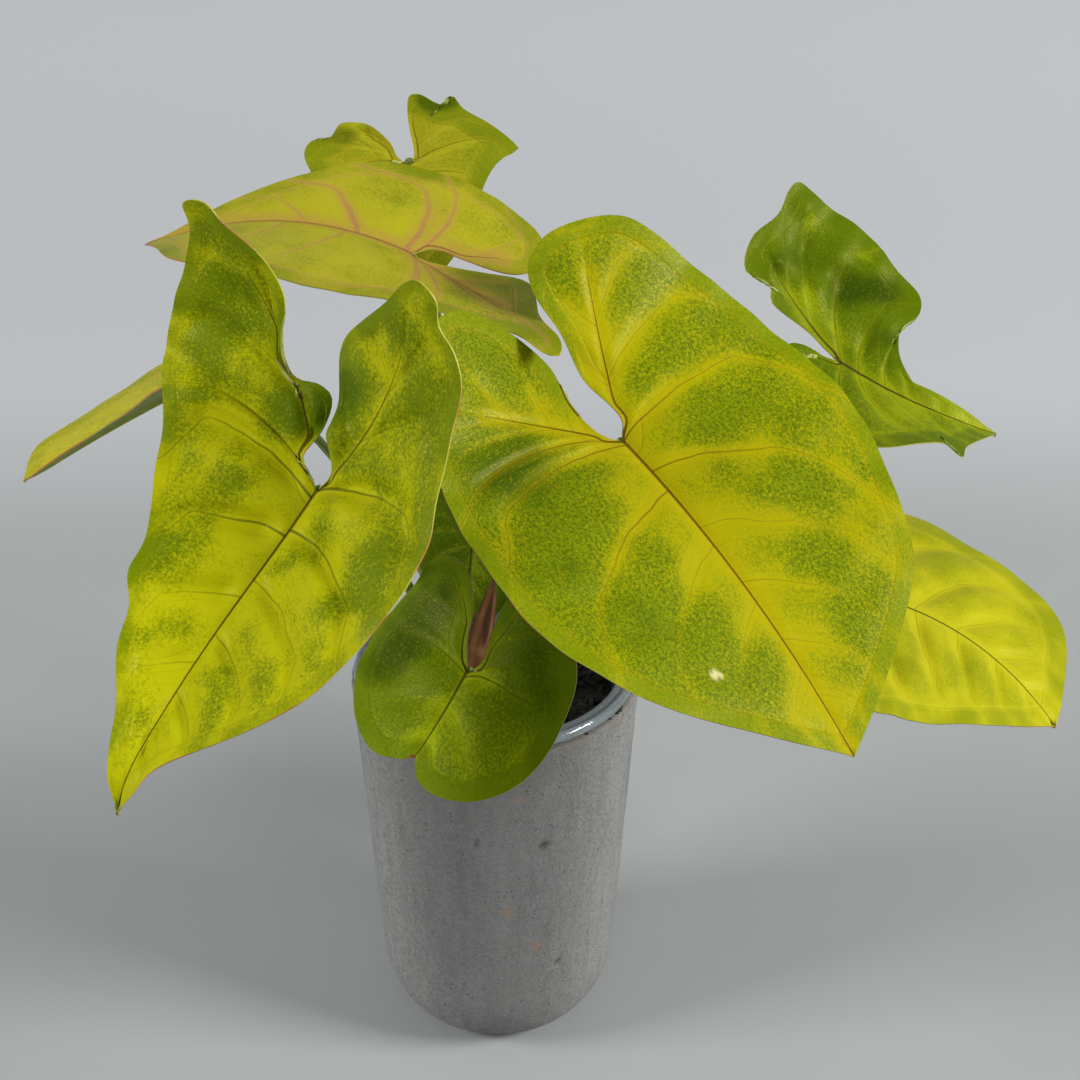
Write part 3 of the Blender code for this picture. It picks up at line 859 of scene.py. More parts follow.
def finished(
    made: BMesh,
    name: str,
    materials: Iterable[Material],
    replaces: Sequence[str] = (),
    sharp: float | None = 40.0,
) -> Piece:
    """Write a bmesh given in millimetres as a piece of the object.

    Args:
        made: The shape. It is freed.
        name: The piece's name.
        materials: Its materials, in slot order.
        replaces: CAD nodes that the piece stands for.
        sharp: Angle in degrees past which an edge is sharp, or None to keep the marks.

    Returns:
        The new object, riding on the body.
    """
    bmesh.ops.scale(made, vec=(MM, MM, MM), verts=made.verts)
    mesh = written(made, name)
    for material in materials:
        mesh.materials.append(material)
    for polygon in mesh.polygons:
        polygon.use_smooth = True
    if sharp is not None:
        mesh.set_sharp_from_angle(angle=math.radians(sharp))
    piece = placed(name, mesh)
    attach(piece, BODY)
    if replaces:
        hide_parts(*replaces)
    LOG.info("%s: %d faces", name, len(mesh.polygons))
    return piece


def turned(profile: Sequence[Pair], segments: int) -> BMesh:
    """Spin an outline of (radius, height) points round the Z axis.

    Args:
        profile: The outline. Its ends may lie on the axis.
        segments: Steps round.

    Returns:
        The closed shape, faces outward.
    """
    made = bmesh.new()
    points = [made.verts.new((radius, 0.0, height)) for radius, height in profile]
    edges = [made.edges.new(pair) for pair in zip(points, points[1:])]
    bmesh.ops.spin(
        made, geom=points + edges, axis=(0, 0, 1), cent=(0, 0, 0),
        angle=math.tau, steps=segments, use_merge=True,
    )
    bmesh.ops.remove_doubles(made, verts=made.verts, dist=0.0005)
    bmesh.ops.recalc_face_normals(made, faces=made.faces)
    return made


def rounded(profile: Sequence[Pair], reach: float, steps: int = 4) -> list[Pair]:
    """Round the inner corners of an outline.

    Args:
        profile: The outline.
        reach: How far from a corner its curve starts.
        steps: Points on each curve.

    Returns:
        The outline with a curve at each corner.
    """
    smooth: list[Pair] = [profile[0]]
    for before, corner, after in zip(profile, profile[1:], profile[2:]):
        at = Vector(corner)
        back, on = Vector(before) - at, Vector(after) - at
        start = at + back.normalized() * min(reach, 0.45 * back.length)
        end = at + on.normalized() * min(reach, 0.45 * on.length)
        for step in range(steps + 1):
            part = step / steps
            point = start.lerp(at, part).lerp(at.lerp(end, part), part)
            smooth.append((point.x, point.y))
    smooth.append(profile[-1])
    return smooth


def refined(profile: Sequence[Pair], step: float) -> list[Pair]:
    """Add points so that no stretch of an outline is longer than a step.

    Args:
        profile: The outline.
        step: Longest stretch.

    Returns:
        The finer outline.
    """
    dense: list[Pair] = []
    for start, end in zip(profile, profile[1:]):
        count = max(1, math.ceil(math.dist(start, end) / step))
        for index in range(count):
            part = index / count
            dense.append(tuple(low + (high - low) * part for low, high in zip(start, end)))
    dense.append(profile[-1])
    return dense


def add_float_layer(made: BMesh, name: str, value: Callable[[Vector], float]) -> None:
    """Give each vertex a value worked out from its place.

    Args:
        made: The shape.
        name: The attribute's name.
        value: Gives the value at a place in millimetres.
    """
    layer = made.verts.layers.float.new(name)
    for vertex in made.verts:
        vertex[layer] = value(vertex.co)


# Pots and soil


@dataclass
class CementPot:
    """The tapered cement pot with its rounded foot."""

    top_radius: float = 40.0
    height: float = 115.0
    foot_wall_radius: float = 32.6
    foot_flat_radius: float = 16.0
    foot_rounding: float = 25.0
    wall: float = 4.6
    floor: float = 9.0
    damp_reach: float = 9.0
    segments: int = 200
    pits: tuple[Triple, ...] = ((-97.0, 84.5, 0.8), (-69.0, 82.0, 1.3), (-60.0, 36.0, 0.8))
    rust: tuple[Triple, ...] = ((-80.0, 100.0, 1.0), (-71.0, 44.5, 1.4), (-85.0, 59.0, 1.3))

    def wall_radius(self, height: float) -> float:
        """Outer radius of the straight wall at a height."""
        return self.foot_wall_radius + (self.top_radius - self.foot_wall_radius) * height / self.height

    def outline(self) -> list[Pair]:
        """Outline from the middle of the foot over the rim to the middle of the inner floor.

        Returns:
            Points as (radius, height).
        """
        wide = self.wall_radius(self.foot_rounding)
        profile = [(0.0, 0.0), (self.foot_flat_radius, 0.0)]
        steps = 28
        for step in range(1, steps + 1):
            angle = 0.5 * math.pi * step / steps
            profile.append((
                self.foot_flat_radius + (wide - self.foot_flat_radius) * math.sin(angle),
                self.foot_rounding * (1.0 - math.cos(angle)),
            ))
        inner = self.top_radius - self.wall
        inner_foot = self.wall_radius(self.floor) - self.wall
        rim = rounded([
            profile[-1],
            (self.top_radius, self.height),
            (inner, self.height),
            (inner_foot, self.floor + 14.0),
            (inner_foot - 5.0, self.floor + 4.0),
            (inner_foot - 14.0, self.floor),
            (0.0, self.floor),
        ], 1.0)
        return refined(profile[:-1] + rim, 1.6)

    def near(self, place: Vector, marks: Iterable[Triple]) -> float:
        """How far inside the nearest of some round marks a place is, from 0 to 1.

        Args:
            place: Place on the wall.
            marks: Marks as (degrees round the pot, height, radius).

        Returns:
            1 at a mark's middle, 0 outside them all.
        """
        best = 0.0
        for angle, height, radius in marks:
            centre = polar(self.wall_radius(height), math.radians(angle), height)
            best = max(best, 1.0 - (place - centre).length / (1.6 * radius))
        return min(1.0, max(0.0, best) * 1.6)

    def dampness(self, place: Vector) -> float:
        """Share of damp at a place: patchy, and most just under the rim."""
        near_rim = max(0.0, 1.0 - (self.height - place.z) / self.damp_reach)
        return 0.55 * near_rim * max(0.0, 0.5 + noise.noise(place * 0.3))

    def build(self) -> Piece:
        """Make the pot with a slightly uneven wall, pits and a worn rim.

        Returns:
            The piece.
        """
        made = turned(self.outline(), self.segments)
        for vertex in made.verts:
            place = vertex.co
            if place.z < 0.05:
                continue
            flat = Vector((place.x, place.y, 0.0))
            if flat.length < 1.0:
                continue
            out = flat.normalized()
            swell = 0.16 * noise.noise(place * 0.05) + 0.07 * noise.noise(place * 0.45)
            chip = max(0.0, noise.noise(place * 0.22 + Vector((7.0, 3.0, 1.0))) - 0.18)
            rim = max(0.0, 1.0 - abs(place.z - self.height) / 1.6)
            swell -= 1.0 * chip * rim + 0.5 * self.near(place, self.pits)
            vertex.co = place + out * swell - Vector((0.0, 0.0, 0.5 * chip * rim))
        add_float_layer(made, "pit", lambda place: 0.9 * self.near(place, self.pits))
        add_float_layer(made, "rust", lambda place: 0.45 * self.near(place, self.rust))
        add_float_layer(made, "damp", self.dampness)
        bmesh.ops.recalc_face_normals(made, faces=made.faces)
        return finished(made, "cement_pot_shell", [CementFinish().material()], ["cement_pot"], 70.0)


@dataclass
class PlasticPot:
    """The clear plastic pot: thin wall, rolled lip with an inner step, drain holes."""

    holder: CementPot
    wall: float = 0.8
    clearance: float = 0.5
    bottom: float = 30.0
    taper: float = 0.085
    lip_radius: float = 39.1
    lip_low: float = 115.3
    lip_high: float = 118.7
    segments: int = 180
    drain_holes: int = 5
    drain_radius: float = 2.6
    drain_ring: float = 17.0

    def radius(self, height: float) -> float:
        """Outer radius of the wall at a height."""
        bore = self.holder.top_radius - self.holder.wall
        return bore - self.clearance - self.taper * (self.holder.height - height)

    def build(self) -> Piece:
        """Make the pot.

        Returns:
            The piece.
        """
        outer = self.radius(self.holder.height)
        bottom = self.radius(self.bottom)
        inner = outer - self.wall
        lip = self.lip_radius
        corners = [
            (0.0, self.bottom),
            (bottom - 2.0, self.bottom),
            (bottom, self.bottom + 2.0),
            (outer, self.lip_low),
            (lip - 0.5, self.lip_low),
            (lip, self.lip_low + 0.9),
            (lip - 0.1, self.lip_high - 1.1),
            (lip - 1.1, self.lip_high - 0.1),
            (lip - 2.0, self.lip_high - 0.5),
            (lip - 2.6, self.lip_high - 0.9),
            (inner + 0.9, self.lip_high - 0.5),
            (inner + 0.3, self.lip_high - 0.9),
            (inner, self.lip_low - 1.0),
            (bottom - self.wall, self.bottom + 2.6),
            (bottom - 2.6, self.bottom + self.wall),
            (0.0, self.bottom + self.wall),
        ]
        made = turned(rounded(corners, 0.5, 3), self.segments)
        clear = PlasticFinish().material()
        piece = finished(made, "plastic_pot_shell", [clear], ["plastic_pot"], 60.0)
        self.drain(piece)
        return piece

    def drain(self, piece: Piece) -> None:
        """Cut the drain holes through the bottom and apply the cut.

        Args:
            piece: The pot.
        """
        cutter = bmesh.new()
        for number in range(self.drain_holes):
            centre = polar(self.drain_ring, math.tau * number / self.drain_holes, self.bottom)
            bmesh.ops.create_cone(
                cutter, cap_ends=True, segments=24, depth=6.0,
                radius1=self.drain_radius, radius2=self.drain_radius, matrix=Matrix.Translation(centre),
            )
        bmesh.ops.scale(cutter, vec=(MM, MM, MM), verts=cutter.verts)
        mesh = written(cutter, "drain_holes")
        tool = placed("drain_holes", mesh)
        cut = piece.modifiers.new("drain_holes", "BOOLEAN")
        cut.operation = "DIFFERENCE"
        cut.solver = "EXACT"
        cut.object = tool
        graph = bpy.context.evaluated_depsgraph_get()
        result = bpy.data.meshes.new_from_object(piece.evaluated_get(graph))
        piece.modifiers.clear()
        piece.data = result
        bpy.data.objects.remove(tool)
        bpy.data.meshes.remove(mesh)


@dataclass
class Soil:
    """Potting soil: an uneven surface with loose crumbs on it."""

    top: float = 105.0
    mound: float = 2.0
    low: float = 31.1
    foot_radius: float = 26.57
    top_radius: float = 32.95
    rings: int = 26
    segments: int = 120
    crumbs: int = 900
    seed: int = 11
    rim_radius: float = 38.6
    rim_height: float = 115.1
    rim_crumbs: tuple[Pair, ...] = (
        (-31.0, 0.9), (-29.0, 1.1), (-27.0, 0.8), (-36.0, 0.6), (-50.0, 0.5), (-158.0, 0.7),
    )

    def surface(self, radius: float) -> float:
        """Height of the smooth mound at a distance from the middle."""
        return self.top + self.mound * (1.0 - (radius / self.top_radius) ** 2)

    def build(self) -> Piece:
        """Make the soil with its crumbs.

        Returns:
            The piece.
        """
        foot = self.foot_radius
        profile = [(0.0, self.low), (foot - 2.8, self.low), (foot, self.low + 2.8)]
        for index in range(self.rings + 1):
            radius = self.top_radius * (1.0 - index / self.rings)
            profile.append((radius, self.surface(radius)))
        made = turned(refined(profile, 4.0), self.segments)
        for vertex in made.verts:
            place = vertex.co
            radius = math.hypot(place.x, place.y)
            if place.z > self.top - 1.0 and radius < self.top_radius - 0.6:
                rough = 0.9 * noise.fractal(place * 0.35, 1.0, 2.0, 3)
                vertex.co.z += min(0.9, rough)
        dice = np.random.default_rng(self.seed)
        for _ in range(self.crumbs):
            radius = (self.top_radius - 1.6) * math.sqrt(dice.random())
            angle = math.tau * dice.random()
            size = 0.35 + 1.15 * dice.random() ** 3
            spot = polar(radius, angle, self.surface(radius) + 0.35 * size)
            self.crumb(made, spot, size, dice)
        for turn, size in self.rim_crumbs:
            self.crumb(made, polar(self.rim_radius, math.radians(turn), self.rim_height), size, dice)
        return finished(made, "potting_soil_heap", [SoilFinish().material()], ["potting_soil"], 50.0)

    def crumb(self, made: BMesh, spot: Vector, size: float, dice: np.random.Generator) -> None:
        """Add one crumb.

        Args:
            made: The shape it joins.
            spot: Its centre.
            size: Its mean radius.
            dice: Random numbers.
        """
        turn = Matrix.Rotation(math.tau * dice.random(), 4, "Z") @ Matrix.Rotation(dice.random(), 4, "X")
        sides = [low + more * dice.random() for low, more in ((0.7, 0.6), (0.6, 0.5), (0.5, 0.4))]
        place = Matrix.Translation(spot) @ turn @ Matrix.Diagonal((*sides, 1.0))
        bmesh.ops.create_icosphere(made, subdivisions=1, radius=size, matrix=place)


# Stems and stalks


@dataclass(frozen=True)
class Stem:
    """A short upright stem with rings where old leaves sat."""

    name: str
    x: float
    y: float
    height: float
    radius: float = 2.3
    low: float = 91.3
    soil_top: float = 107.0

    def build(self, finish: Material) -> Piece:
        """Make the stem.

        Args:
            finish: Its material.

        Returns:
            The piece.
        """
        top = self.soil_top + self.height
        steps = 26
        profile = [(0.0, self.low), (self.radius - 0.3, self.low)]
        for index in range(steps + 1):
            share = index / steps
            height = self.low + 0.4 + (top - self.low - 1.2) * share
            ring = 0.28 * max(0.0, math.sin(math.tau * share * 3.0)) ** 8
            profile.append((self.radius - 0.28 - 0.25 * share + ring, height))
        profile += [(0.6 * self.radius, top - 0.25), (0.0, top)]
        made = turned(profile, 28)
        uv = made.loops.layers.uv.new("flat")
        for face in made.faces:
            for loop in face.loops:
                place = loop.vert.co
                loop[uv].uv = (math.atan2(place.y, place.x) / math.tau * 0.15, place.z * UV_PER_MM)
        bmesh.ops.translate(made, vec=(self.x, self.y, 0.0), verts=made.verts)
        return finished(made, self.name + "_skin", [finish], [self.name])


STEMS = {
    "stem_front": Stem("stem_front", -6.0, -9.0, 12.0),
    "stem_right": Stem("stem_right", 9.0, 2.0, 15.0),
    "stem_back": Stem("stem_back", -7.0, 9.0, 18.0),
}


def bezier(points: Sequence[Vector], share: float) -> Vector:
    """Point on a cubic curve.

    Args:
        points: Its four corners.
        share: How far along, from 0 to 1.

    Returns:
        The point.
    """
    start, first, second, end = points
    rest = 1.0 - share
    return (
        start * rest**3
        + first * (3.0 * rest * rest * share)
        + second * (3.0 * rest * share * share)
        + end * share**3
    )


# Blades


class BladeSlot(Enum):
    """Kinds of blade material that each leaf lists; the blades' material slots are not built from them."""

    MOTTLED = "blade_mottled"
    YELLOW = "blade_yellow"
    GREEN = "blade_green"
    DULL = "blade_dull"


@dataclass(frozen=True)
class Bend:
    """A local roll of one half of a blade, beyond a line drawn across it.

    The line passes through (along, out). The roll runs in the direction towards, in
    degrees from the midrib's own direction, and turns the blade up by turn degrees
    over reach millimetres.
    """

    along: float
    out: float
    towards: float
    turn: float
    reach: float


@dataclass(frozen=True)
class Patch:
    """A soft-edged round area of a blade, greener where green is above 0."""

    along: float
    out: float
    size: float
    green: float


@dataclass(frozen=True)
class HalfDetail:
    """Fine shape of one half of a blade.

    veins holds the places along the skeleton, from -1 at the lobe rib's end over 0 at
    the junction to 1 at the tip, where side veins leave it. reach pairs such places
    with the share of the margin that the vein heads for.
    """

    veins: tuple[float, ...] = (-0.70, -0.38, 0.0, 0.10, 0.28, 0.46, 0.65, 0.82)
    strength: tuple[float, ...] = (0.4, 0.5, 0.9, 0.9, 0.6, 0.5, 0.4, 0.3)
    reach: tuple[Pair, ...] = (
        (-1.0, 0.0), (0.0, 0.36), (0.10, 0.54), (0.28, 0.67), (0.46, 0.77), (0.65, 0.86), (0.82, 0.93),
        (1.0, 1.0),
    )
    bends: tuple[Bend, ...] = ()
    bumps: tuple[tuple[float, float, float, float], ...] = ()
    patches: tuple[Patch, ...] = ()
    rib: Pair | None = None


@dataclass(frozen=True)
class Leaf:
    """One leaf: where its blade joins the stalk, how it is turned and bent, and its outline.

    Lengths in millimetres, angles in degrees. A pair holds the right and left halves.
    The outline of a half runs from the junction round the back lobe to the tip, as
    (distance along the midrib, distance out from it).
    """

    name: str
    junction: Triple
    heading: float
    pitch: float
    roll: float
    length: float
    half_width: float
    lobe_length: float
    fold: Pair
    cup: Pair
    right: Outline
    left: Outline
    stem: str
    stem_angle: float
    stalk_rise: float
    stalk_reach: float
    slot: BladeSlot
    finish: BladeFinish
    droop: float = 0.0
    twist: float = 0.0
    sweep: float = 0.0
    lobe_lift: Pair = (0.0, 0.0)
    lobe_sweep: Pair = (0.0, 0.0)
    lobe_twist: Pair = (0.0, 0.0)
    lobe_fold: float = 0.0
    stalk_lean: Pair = (0.0, 0.0)
    right_detail: HalfDetail = HalfDetail()
    left_detail: HalfDetail = HalfDetail()
    quilting: float = 0.35
    waves: tuple[Triple, ...] = ((0.5, 31.0, 0.2), (0.25, 13.0, 0.6))
    bow: float = 0.0
    scars: tuple[Triple, ...] = ()
    burns: tuple[Triple, ...] = ()
    columns: int = 1


def smooth_step(value: np.ndarray) -> np.ndarray:
    """Ease from 0 to 1."""
    value = np.clip(value, 0.0, 1.0)
    return value * value * (3.0 - 2.0 * value)


def spline(landmarks: Outline, per_span: int) -> np.ndarray:
    """Smooth flat curve through the landmarks.

    Args:
        landmarks: Points to pass through.
        per_span: Points made for each stretch.

    Returns:
        The curve's points, one row each.
    """
    points = np.array(landmarks, float)
    padded = np.vstack([2 * points[0] - points[1], points, 2 * points[-1] - points[-2]])
    curve = []
    for before, start, end, after in zip(padded, padded[1:], padded[2:], padded[3:]):
        for step in range(per_span):
            part = step / per_span
            curve.append(0.5 * (
                2 * start
                + (end - before) * part
                + (2 * before - 5 * start + 4 * end - after) * part**2
                + (3 * start - before - 3 * end + after) * part**3
            ))
    curve.append(points[-1])
    made = np.array(curve)
    made[:, 1] = np.maximum(made[:, 1], 0.0)
    return made


def at_shares(curve: np.ndarray, shares: np.ndarray) -> np.ndarray:
    """Points at the given shares of a curve's length.

    Args:
        curve: The curve's points.
        shares: Shares from 0 to 1.

    Returns:
        One point for each share.
    """
    steps = np.hypot(*np.diff(curve, axis=0).T)
    reached = np.concatenate([[0.0], np.cumsum(steps)])
    wanted = shares * reached[-1]
    return np.stack([np.interp(wanted, reached, curve[:, axis]) for axis in (0, 1)], axis=1)


def distance_to_line(points: np.ndarray, line: np.ndarray) -> np.ndarray:
    """Shortest distance from each point to a bent line.

    Args:
        points: Points, one row each.
        line: The line's corners.

    Returns:
        One distance for each point.
    """
    best = np.full(len(points), 1e9)
    for start, end in zip(line, line[1:]):
        step = end - start
        size = float(step @ step)
        if size < 1e-12:
            continue
        part = np.clip((points - start) @ step / size, 0.0, 1.0)
        best = np.minimum(best, np.hypot(*(points - start - part[:, None] * step).T))
    return best


class Blade:
    """Builds one blade as a fine thin sheet whose mesh lines follow the veins."""

    RIB_REACH = 0.70
    THICKNESS = 0.38
    RIB_THICKNESS = 1.5
    LOBE_COLUMNS = 26
    BODY_COLUMNS = 64
    ROWS = 22

    def __init__(self, leaf: Leaf) -> None:
        """Keep the leaf and work out its directions.

        Args:
            leaf: The leaf.
        """
        self.leaf = leaf
        self.right, self.forward, self.up = self.axes()
        self.lobe_columns = self.LOBE_COLUMNS * leaf.columns
        self.body_columns = self.BODY_COLUMNS * leaf.columns
        self.rows = self.ROWS * leaf.columns

    def axes(self) -> tuple[Vector, Vector, Vector]:
        """Directions of the blade at the junction.

        Returns:
            Right, forward and upward.
        """
        leaf = self.leaf
        heading, pitch, roll = (math.radians(angle) for angle in (leaf.heading, leaf.pitch, leaf.roll))
        forward = Vector((
            math.cos(pitch) * math.cos(heading),
            math.cos(pitch) * math.sin(heading),
            math.sin(pitch),
        ))
        level = Vector((math.sin(heading), -math.cos(heading), 0.0))
        raised = level.cross(forward)
        right = level * math.cos(roll) + raised * math.sin(roll)
        up = raised * math.cos(roll) - level * math.sin(roll)
        return right, forward, up

    def detail(self, side: int) -> HalfDetail:
        """Fine shape of the right half, side 1, or of the left one, side -1."""
        return self.leaf.right_detail if side > 0 else self.leaf.left_detail

    def rolled(self, along: np.ndarray, out: np.ndarray, bends: Iterable[Bend]) -> tuple[np.ndarray, ...]:
        """Apply a half's local rolls to flat points.

        Args:
            along: Distances along the midrib.
            out: Distances out from it.
            bends: The rolls.

        Returns:
            Changed distances along and out, and the height gained.
        """
        moved_along, moved_out = along.copy(), out.copy()
        lift = np.zeros_like(along)
        for bend in bends:
            direction = math.radians(bend.towards)
            step_along, step_out = math.cos(direction), math.sin(direction)
            beyond = np.maximum((along - bend.along) * step_along + (out - bend.out) * step_out, 0.0)
            rate = math.radians(bend.turn) / bend.reach
            turning = np.minimum(beyond, bend.reach)
            rest = beyond - turning
            final = math.radians(bend.turn)
            kept = np.sin(rate * turning) / rate + rest * math.cos(final)
            raised = (1.0 - np.cos(rate * turning)) / rate + rest * math.sin(final)
            moved_along += (kept - beyond) * step_along
            moved_out += (kept - beyond) * step_out
            lift += raised
        return moved_along, moved_out, lift

    def place(self, along: np.ndarray, out: np.ndarray, side: int, lift: np.ndarray) -> np.ndarray:
        """Place flat points of one half on the bent blade.

        Args:
            along: Distances along the midrib.
            out: Distances out from it.
            side: 1 for the right half, -1 for the left.
            lift: Heights above the smooth face.

        Returns:
            World places in millimetres, one row each.
        """
        leaf = self.leaf
        half = 0 if side > 0 else 1
        shift = self.bowed(along)
        along, out, raised = self.rolled(along, out - side * shift, self.detail(side).bends)
        lift = lift + raised
        fold = np.radians(leaf.fold[half] + leaf.lobe_fold * smooth_step(-along / leaf.lobe_length))
        cup = math.radians(leaf.cup[half]) / leaf.half_width
        angle = fold + cup * out
        slant = smooth_step(np.abs(out) / 4.0)
        across = (np.sin(angle) - np.sin(fold)) / cup - lift * np.sin(angle) * slant
        rise = (np.cos(fold) - np.cos(angle)) / cup + lift * (1.0 - slant + np.cos(angle) * slant)
        section = np.stack([across * side + shift, np.zeros_like(across), rise], axis=1)
        local = np.zeros_like(section)
        front = along >= 0.0
        turns = {
            True: (leaf.length, (-leaf.droop, leaf.twist, leaf.sweep)),
            False: (leaf.lobe_length, (leaf.lobe_lift[half], -leaf.lobe_twist[half], leaf.lobe_sweep[half])),
        }
        for part, (reach, rates) in turns.items():
            chosen = front == part
            turn = np.radians(rates) / reach
            rate = float(np.linalg.norm(turn)) + 1e-9
            axis = turn / rate
            angle = (rate * along[chosen])[:, None]
            spine = np.array([0.0, 1.0, 0.0])
            middle = (
                spine * np.sin(angle) / rate
                + np.cross(axis, spine) * (1.0 - np.cos(angle)) / rate
                + axis * (axis @ spine) * (along[chosen][:, None] - np.sin(angle) / rate)
            )
            cross = section[chosen]
            local[chosen] = middle + (
                cross * np.cos(angle)
                + np.cross(axis, cross) * np.sin(angle)
                + axis * (cross @ axis)[:, None] * (1.0 - np.cos(angle))
            )
        base = np.array([self.right, self.forward, self.up])
        return np.array(leaf.junction) + local @ base

    def bowed(self, along: np.ndarray) -> np.ndarray:
        """How far the midrib lies to the right of the straight line to the tip."""
        return self.leaf.bow * np.sin(math.pi * np.clip(along / self.leaf.length, 0.0, 1.0))

    def grid(self, side: int) -> dict[str, np.ndarray]:
        """Flat places and vein values of one half.

        Args:
            side: 1 for the right half, -1 for the left.

        Returns:
            Arrays of (column, row) values by name.
        """
        leaf = self.leaf
        outline, detail = leaf.right if side > 0 else leaf.left, self.detail(side)
        curve = spline(outline, 12)
        rib_end = np.array(detail.rib or curve[int(np.argmin(curve[:, 0]))] * self.RIB_REACH, float)
        size = np.hypot(*curve.T)
        ahead = curve @ rib_end / np.maximum(size, 1e-6)
        ahead[size < 0.6 * leaf.lobe_length] = -1e9
        back = int(np.argmax(ahead))
        tip = np.array(outline[-1], float)
        lobe = np.arange(self.lobe_columns) / self.lobe_columns
        body = np.arange(self.body_columns + 1) / self.body_columns
        middle = body[:, None] * tip
        middle[:, 1] += side * self.bowed(middle[:, 0])
        sinus = curve[: int(np.argmin(curve[:, 0])) + 1]
        ribs = np.append(lobe, 1.0)[:, None] * rib_end
        beside = np.abs(ribs[:, :1] - sinus[None, :, 0]) < 1.3
        inside = np.where(beside, sinus[None, :, 1], -9.0).max(axis=1) + 1.0
        pushed = np.maximum(inside - ribs[:, 1], 0.0)
        window = np.hanning(7)
        pushed = np.convolve(np.pad(pushed, 3, "edge"), window / window.sum(), "valid")
        ribs[:, 1] += pushed * smooth_step(np.append(lobe, 1.0) * 8.0)
        skeleton = np.vstack([ribs[:-1], ribs[:0:-1], middle])
        where = np.concatenate([lobe - 1.0, body])
        marks = np.array(detail.reach)
        reached = np.interp(where, marks[:, 0], marks[:, 1])
        kernel = np.hanning(9)
        padded = np.concatenate([np.full(4, reached[0]), reached, np.full(4, reached[-1])])
        eased = np.convolve(padded, kernel / kernel.sum(), "valid")
        eased[0], eased[-1] = reached[0], reached[-1]
        margin = np.vstack([at_shares(curve[: back + 1], lobe), at_shares(curve[back:], eased)])
        row = (np.arange(self.rows + 1) / self.rows) ** 1.2
        flat = skeleton[:, None] * (1.0 - row)[None, :, None] + margin[:, None] * row[None, :, None]
        span = np.hypot(*(margin - skeleton).T)
        ahead_share = 1.0 - np.clip(where, 0, 1)
        arc = 0.04 * smooth_step(3.0 * (where + 1.0)) + 0.07 * smooth_step(where + 1.0) * ahead_share
        bow = np.concatenate([np.zeros(self.lobe_columns), arc]) * span
        flat[:, :, 0] -= (bow * smooth_step(span / 6.0))[:, None] * (4.0 * row * (1.0 - row))[None, :]
        veins = np.array(detail.veins)
        spacing_low, spacing_high = veins[1] - veins[0], veins[-1] - veins[-2]
        known = np.concatenate([[veins[0] - spacing_low], veins, [veins[-1] + spacing_high]])
        number = np.interp(where, known, np.arange(len(known)) - 1.0)
        sinus_side = number[0] + (np.interp(0.0, where, number) - number[0]) * (1.0 - lobe)
        phase = np.concatenate([sinus_side, number])[:, None]
        phase = phase - 0.4 * smooth_step((row - 0.72) / 0.28)[None, :]
        strength = np.concatenate([
            np.full(self.lobe_columns, 0.4),
            np.interp(number, np.arange(len(veins)), detail.strength),
        ])
        fade = 1.0 - 0.55 * smooth_step(row / 0.95)
        return {
            "flat": flat,
            "phase": phase,
            "strength": strength[:, None] * fade[None, :],
            "row": np.broadcast_to(row, phase.shape),
            "ribs": ribs,
            "curve": curve,
        }

    def values(self, grid: dict[str, np.ndarray], side: int) -> dict[str, np.ndarray]:
        """Attribute values of one half's vertices.

        Args:
            grid: What grid gives.
            side: 1 for the right half, -1 for the left.

        Returns:
            Flat arrays by attribute name.
        """
        leaf = self.leaf
        flat, phase = grid["flat"], grid["phase"]
        points = flat.reshape(-1, 2)
        d_column = np.gradient(flat, axis=0)
        d_row = np.gradient(flat, axis=1)
        phase_column, phase_row = np.gradient(phase, axis=0), np.gradient(phase, axis=1)
        area = d_column[..., 0] * d_row[..., 1] - d_column[..., 1] * d_row[..., 0]
        area = np.where(np.abs(area) < 1e-4, 1e-4, area)
        slope_x = (phase_column * d_row[..., 1] - phase_row * d_column[..., 1]) / area
        slope_y = (phase_row * d_column[..., 0] - phase_column * d_row[..., 0]) / area
        gap = np.clip(1.0 / (np.hypot(slope_x, slope_y) + 1e-6), 0.2, 30.0)
        steps = np.linspace(0.0, leaf.length, 24)
        midrib = np.stack([steps, side * self.bowed(steps)], axis=1)
        lobe_rib = grid["ribs"]
        to_mid, to_lobe = distance_to_line(points, midrib), distance_to_line(points, lobe_rib)
        lobe_size = float(np.hypot(*lobe_rib[-1]))
        along_mid = np.clip(points[:, 0] / leaf.length, 0.0, 1.0)
        along_lobe = np.clip(points @ lobe_rib[-1] / lobe_size**2, 0.0, 1.0)
        on_mid = to_mid <= to_lobe
        width = np.where(on_mid, 0.54 * (1.0 - 0.72 * along_mid), 0.42 * (1.0 - 0.85 * along_lobe))
        green = np.zeros(len(points))
        for patch in self.detail(side).patches:
            distance = np.hypot(points[:, 0] - patch.along, points[:, 1] - patch.out)
            green += patch.green * np.exp(-((distance / patch.size) ** 2))
        marks = {}
        for name, spots in (("scar", leaf.scars), ("burn", leaf.burns)):
            found = np.zeros(len(points))
            for along, out, size in spots:
                distance = np.hypot(points[:, 0] - along, side * points[:, 1] - out)
                found = np.maximum(found, smooth_step((size - distance) / (0.35 * size)))
            marks[name] = found
        return {
            "phase": phase.ravel(),
            "gap": gap.ravel(),
            "strength": grid["strength"].ravel(),
            "rib": np.minimum(to_mid, to_lobe),
            "rib_width": width,
            "edge": distance_to_line(points, grid["curve"][::3]),
            "green": green,
            **marks,
        }

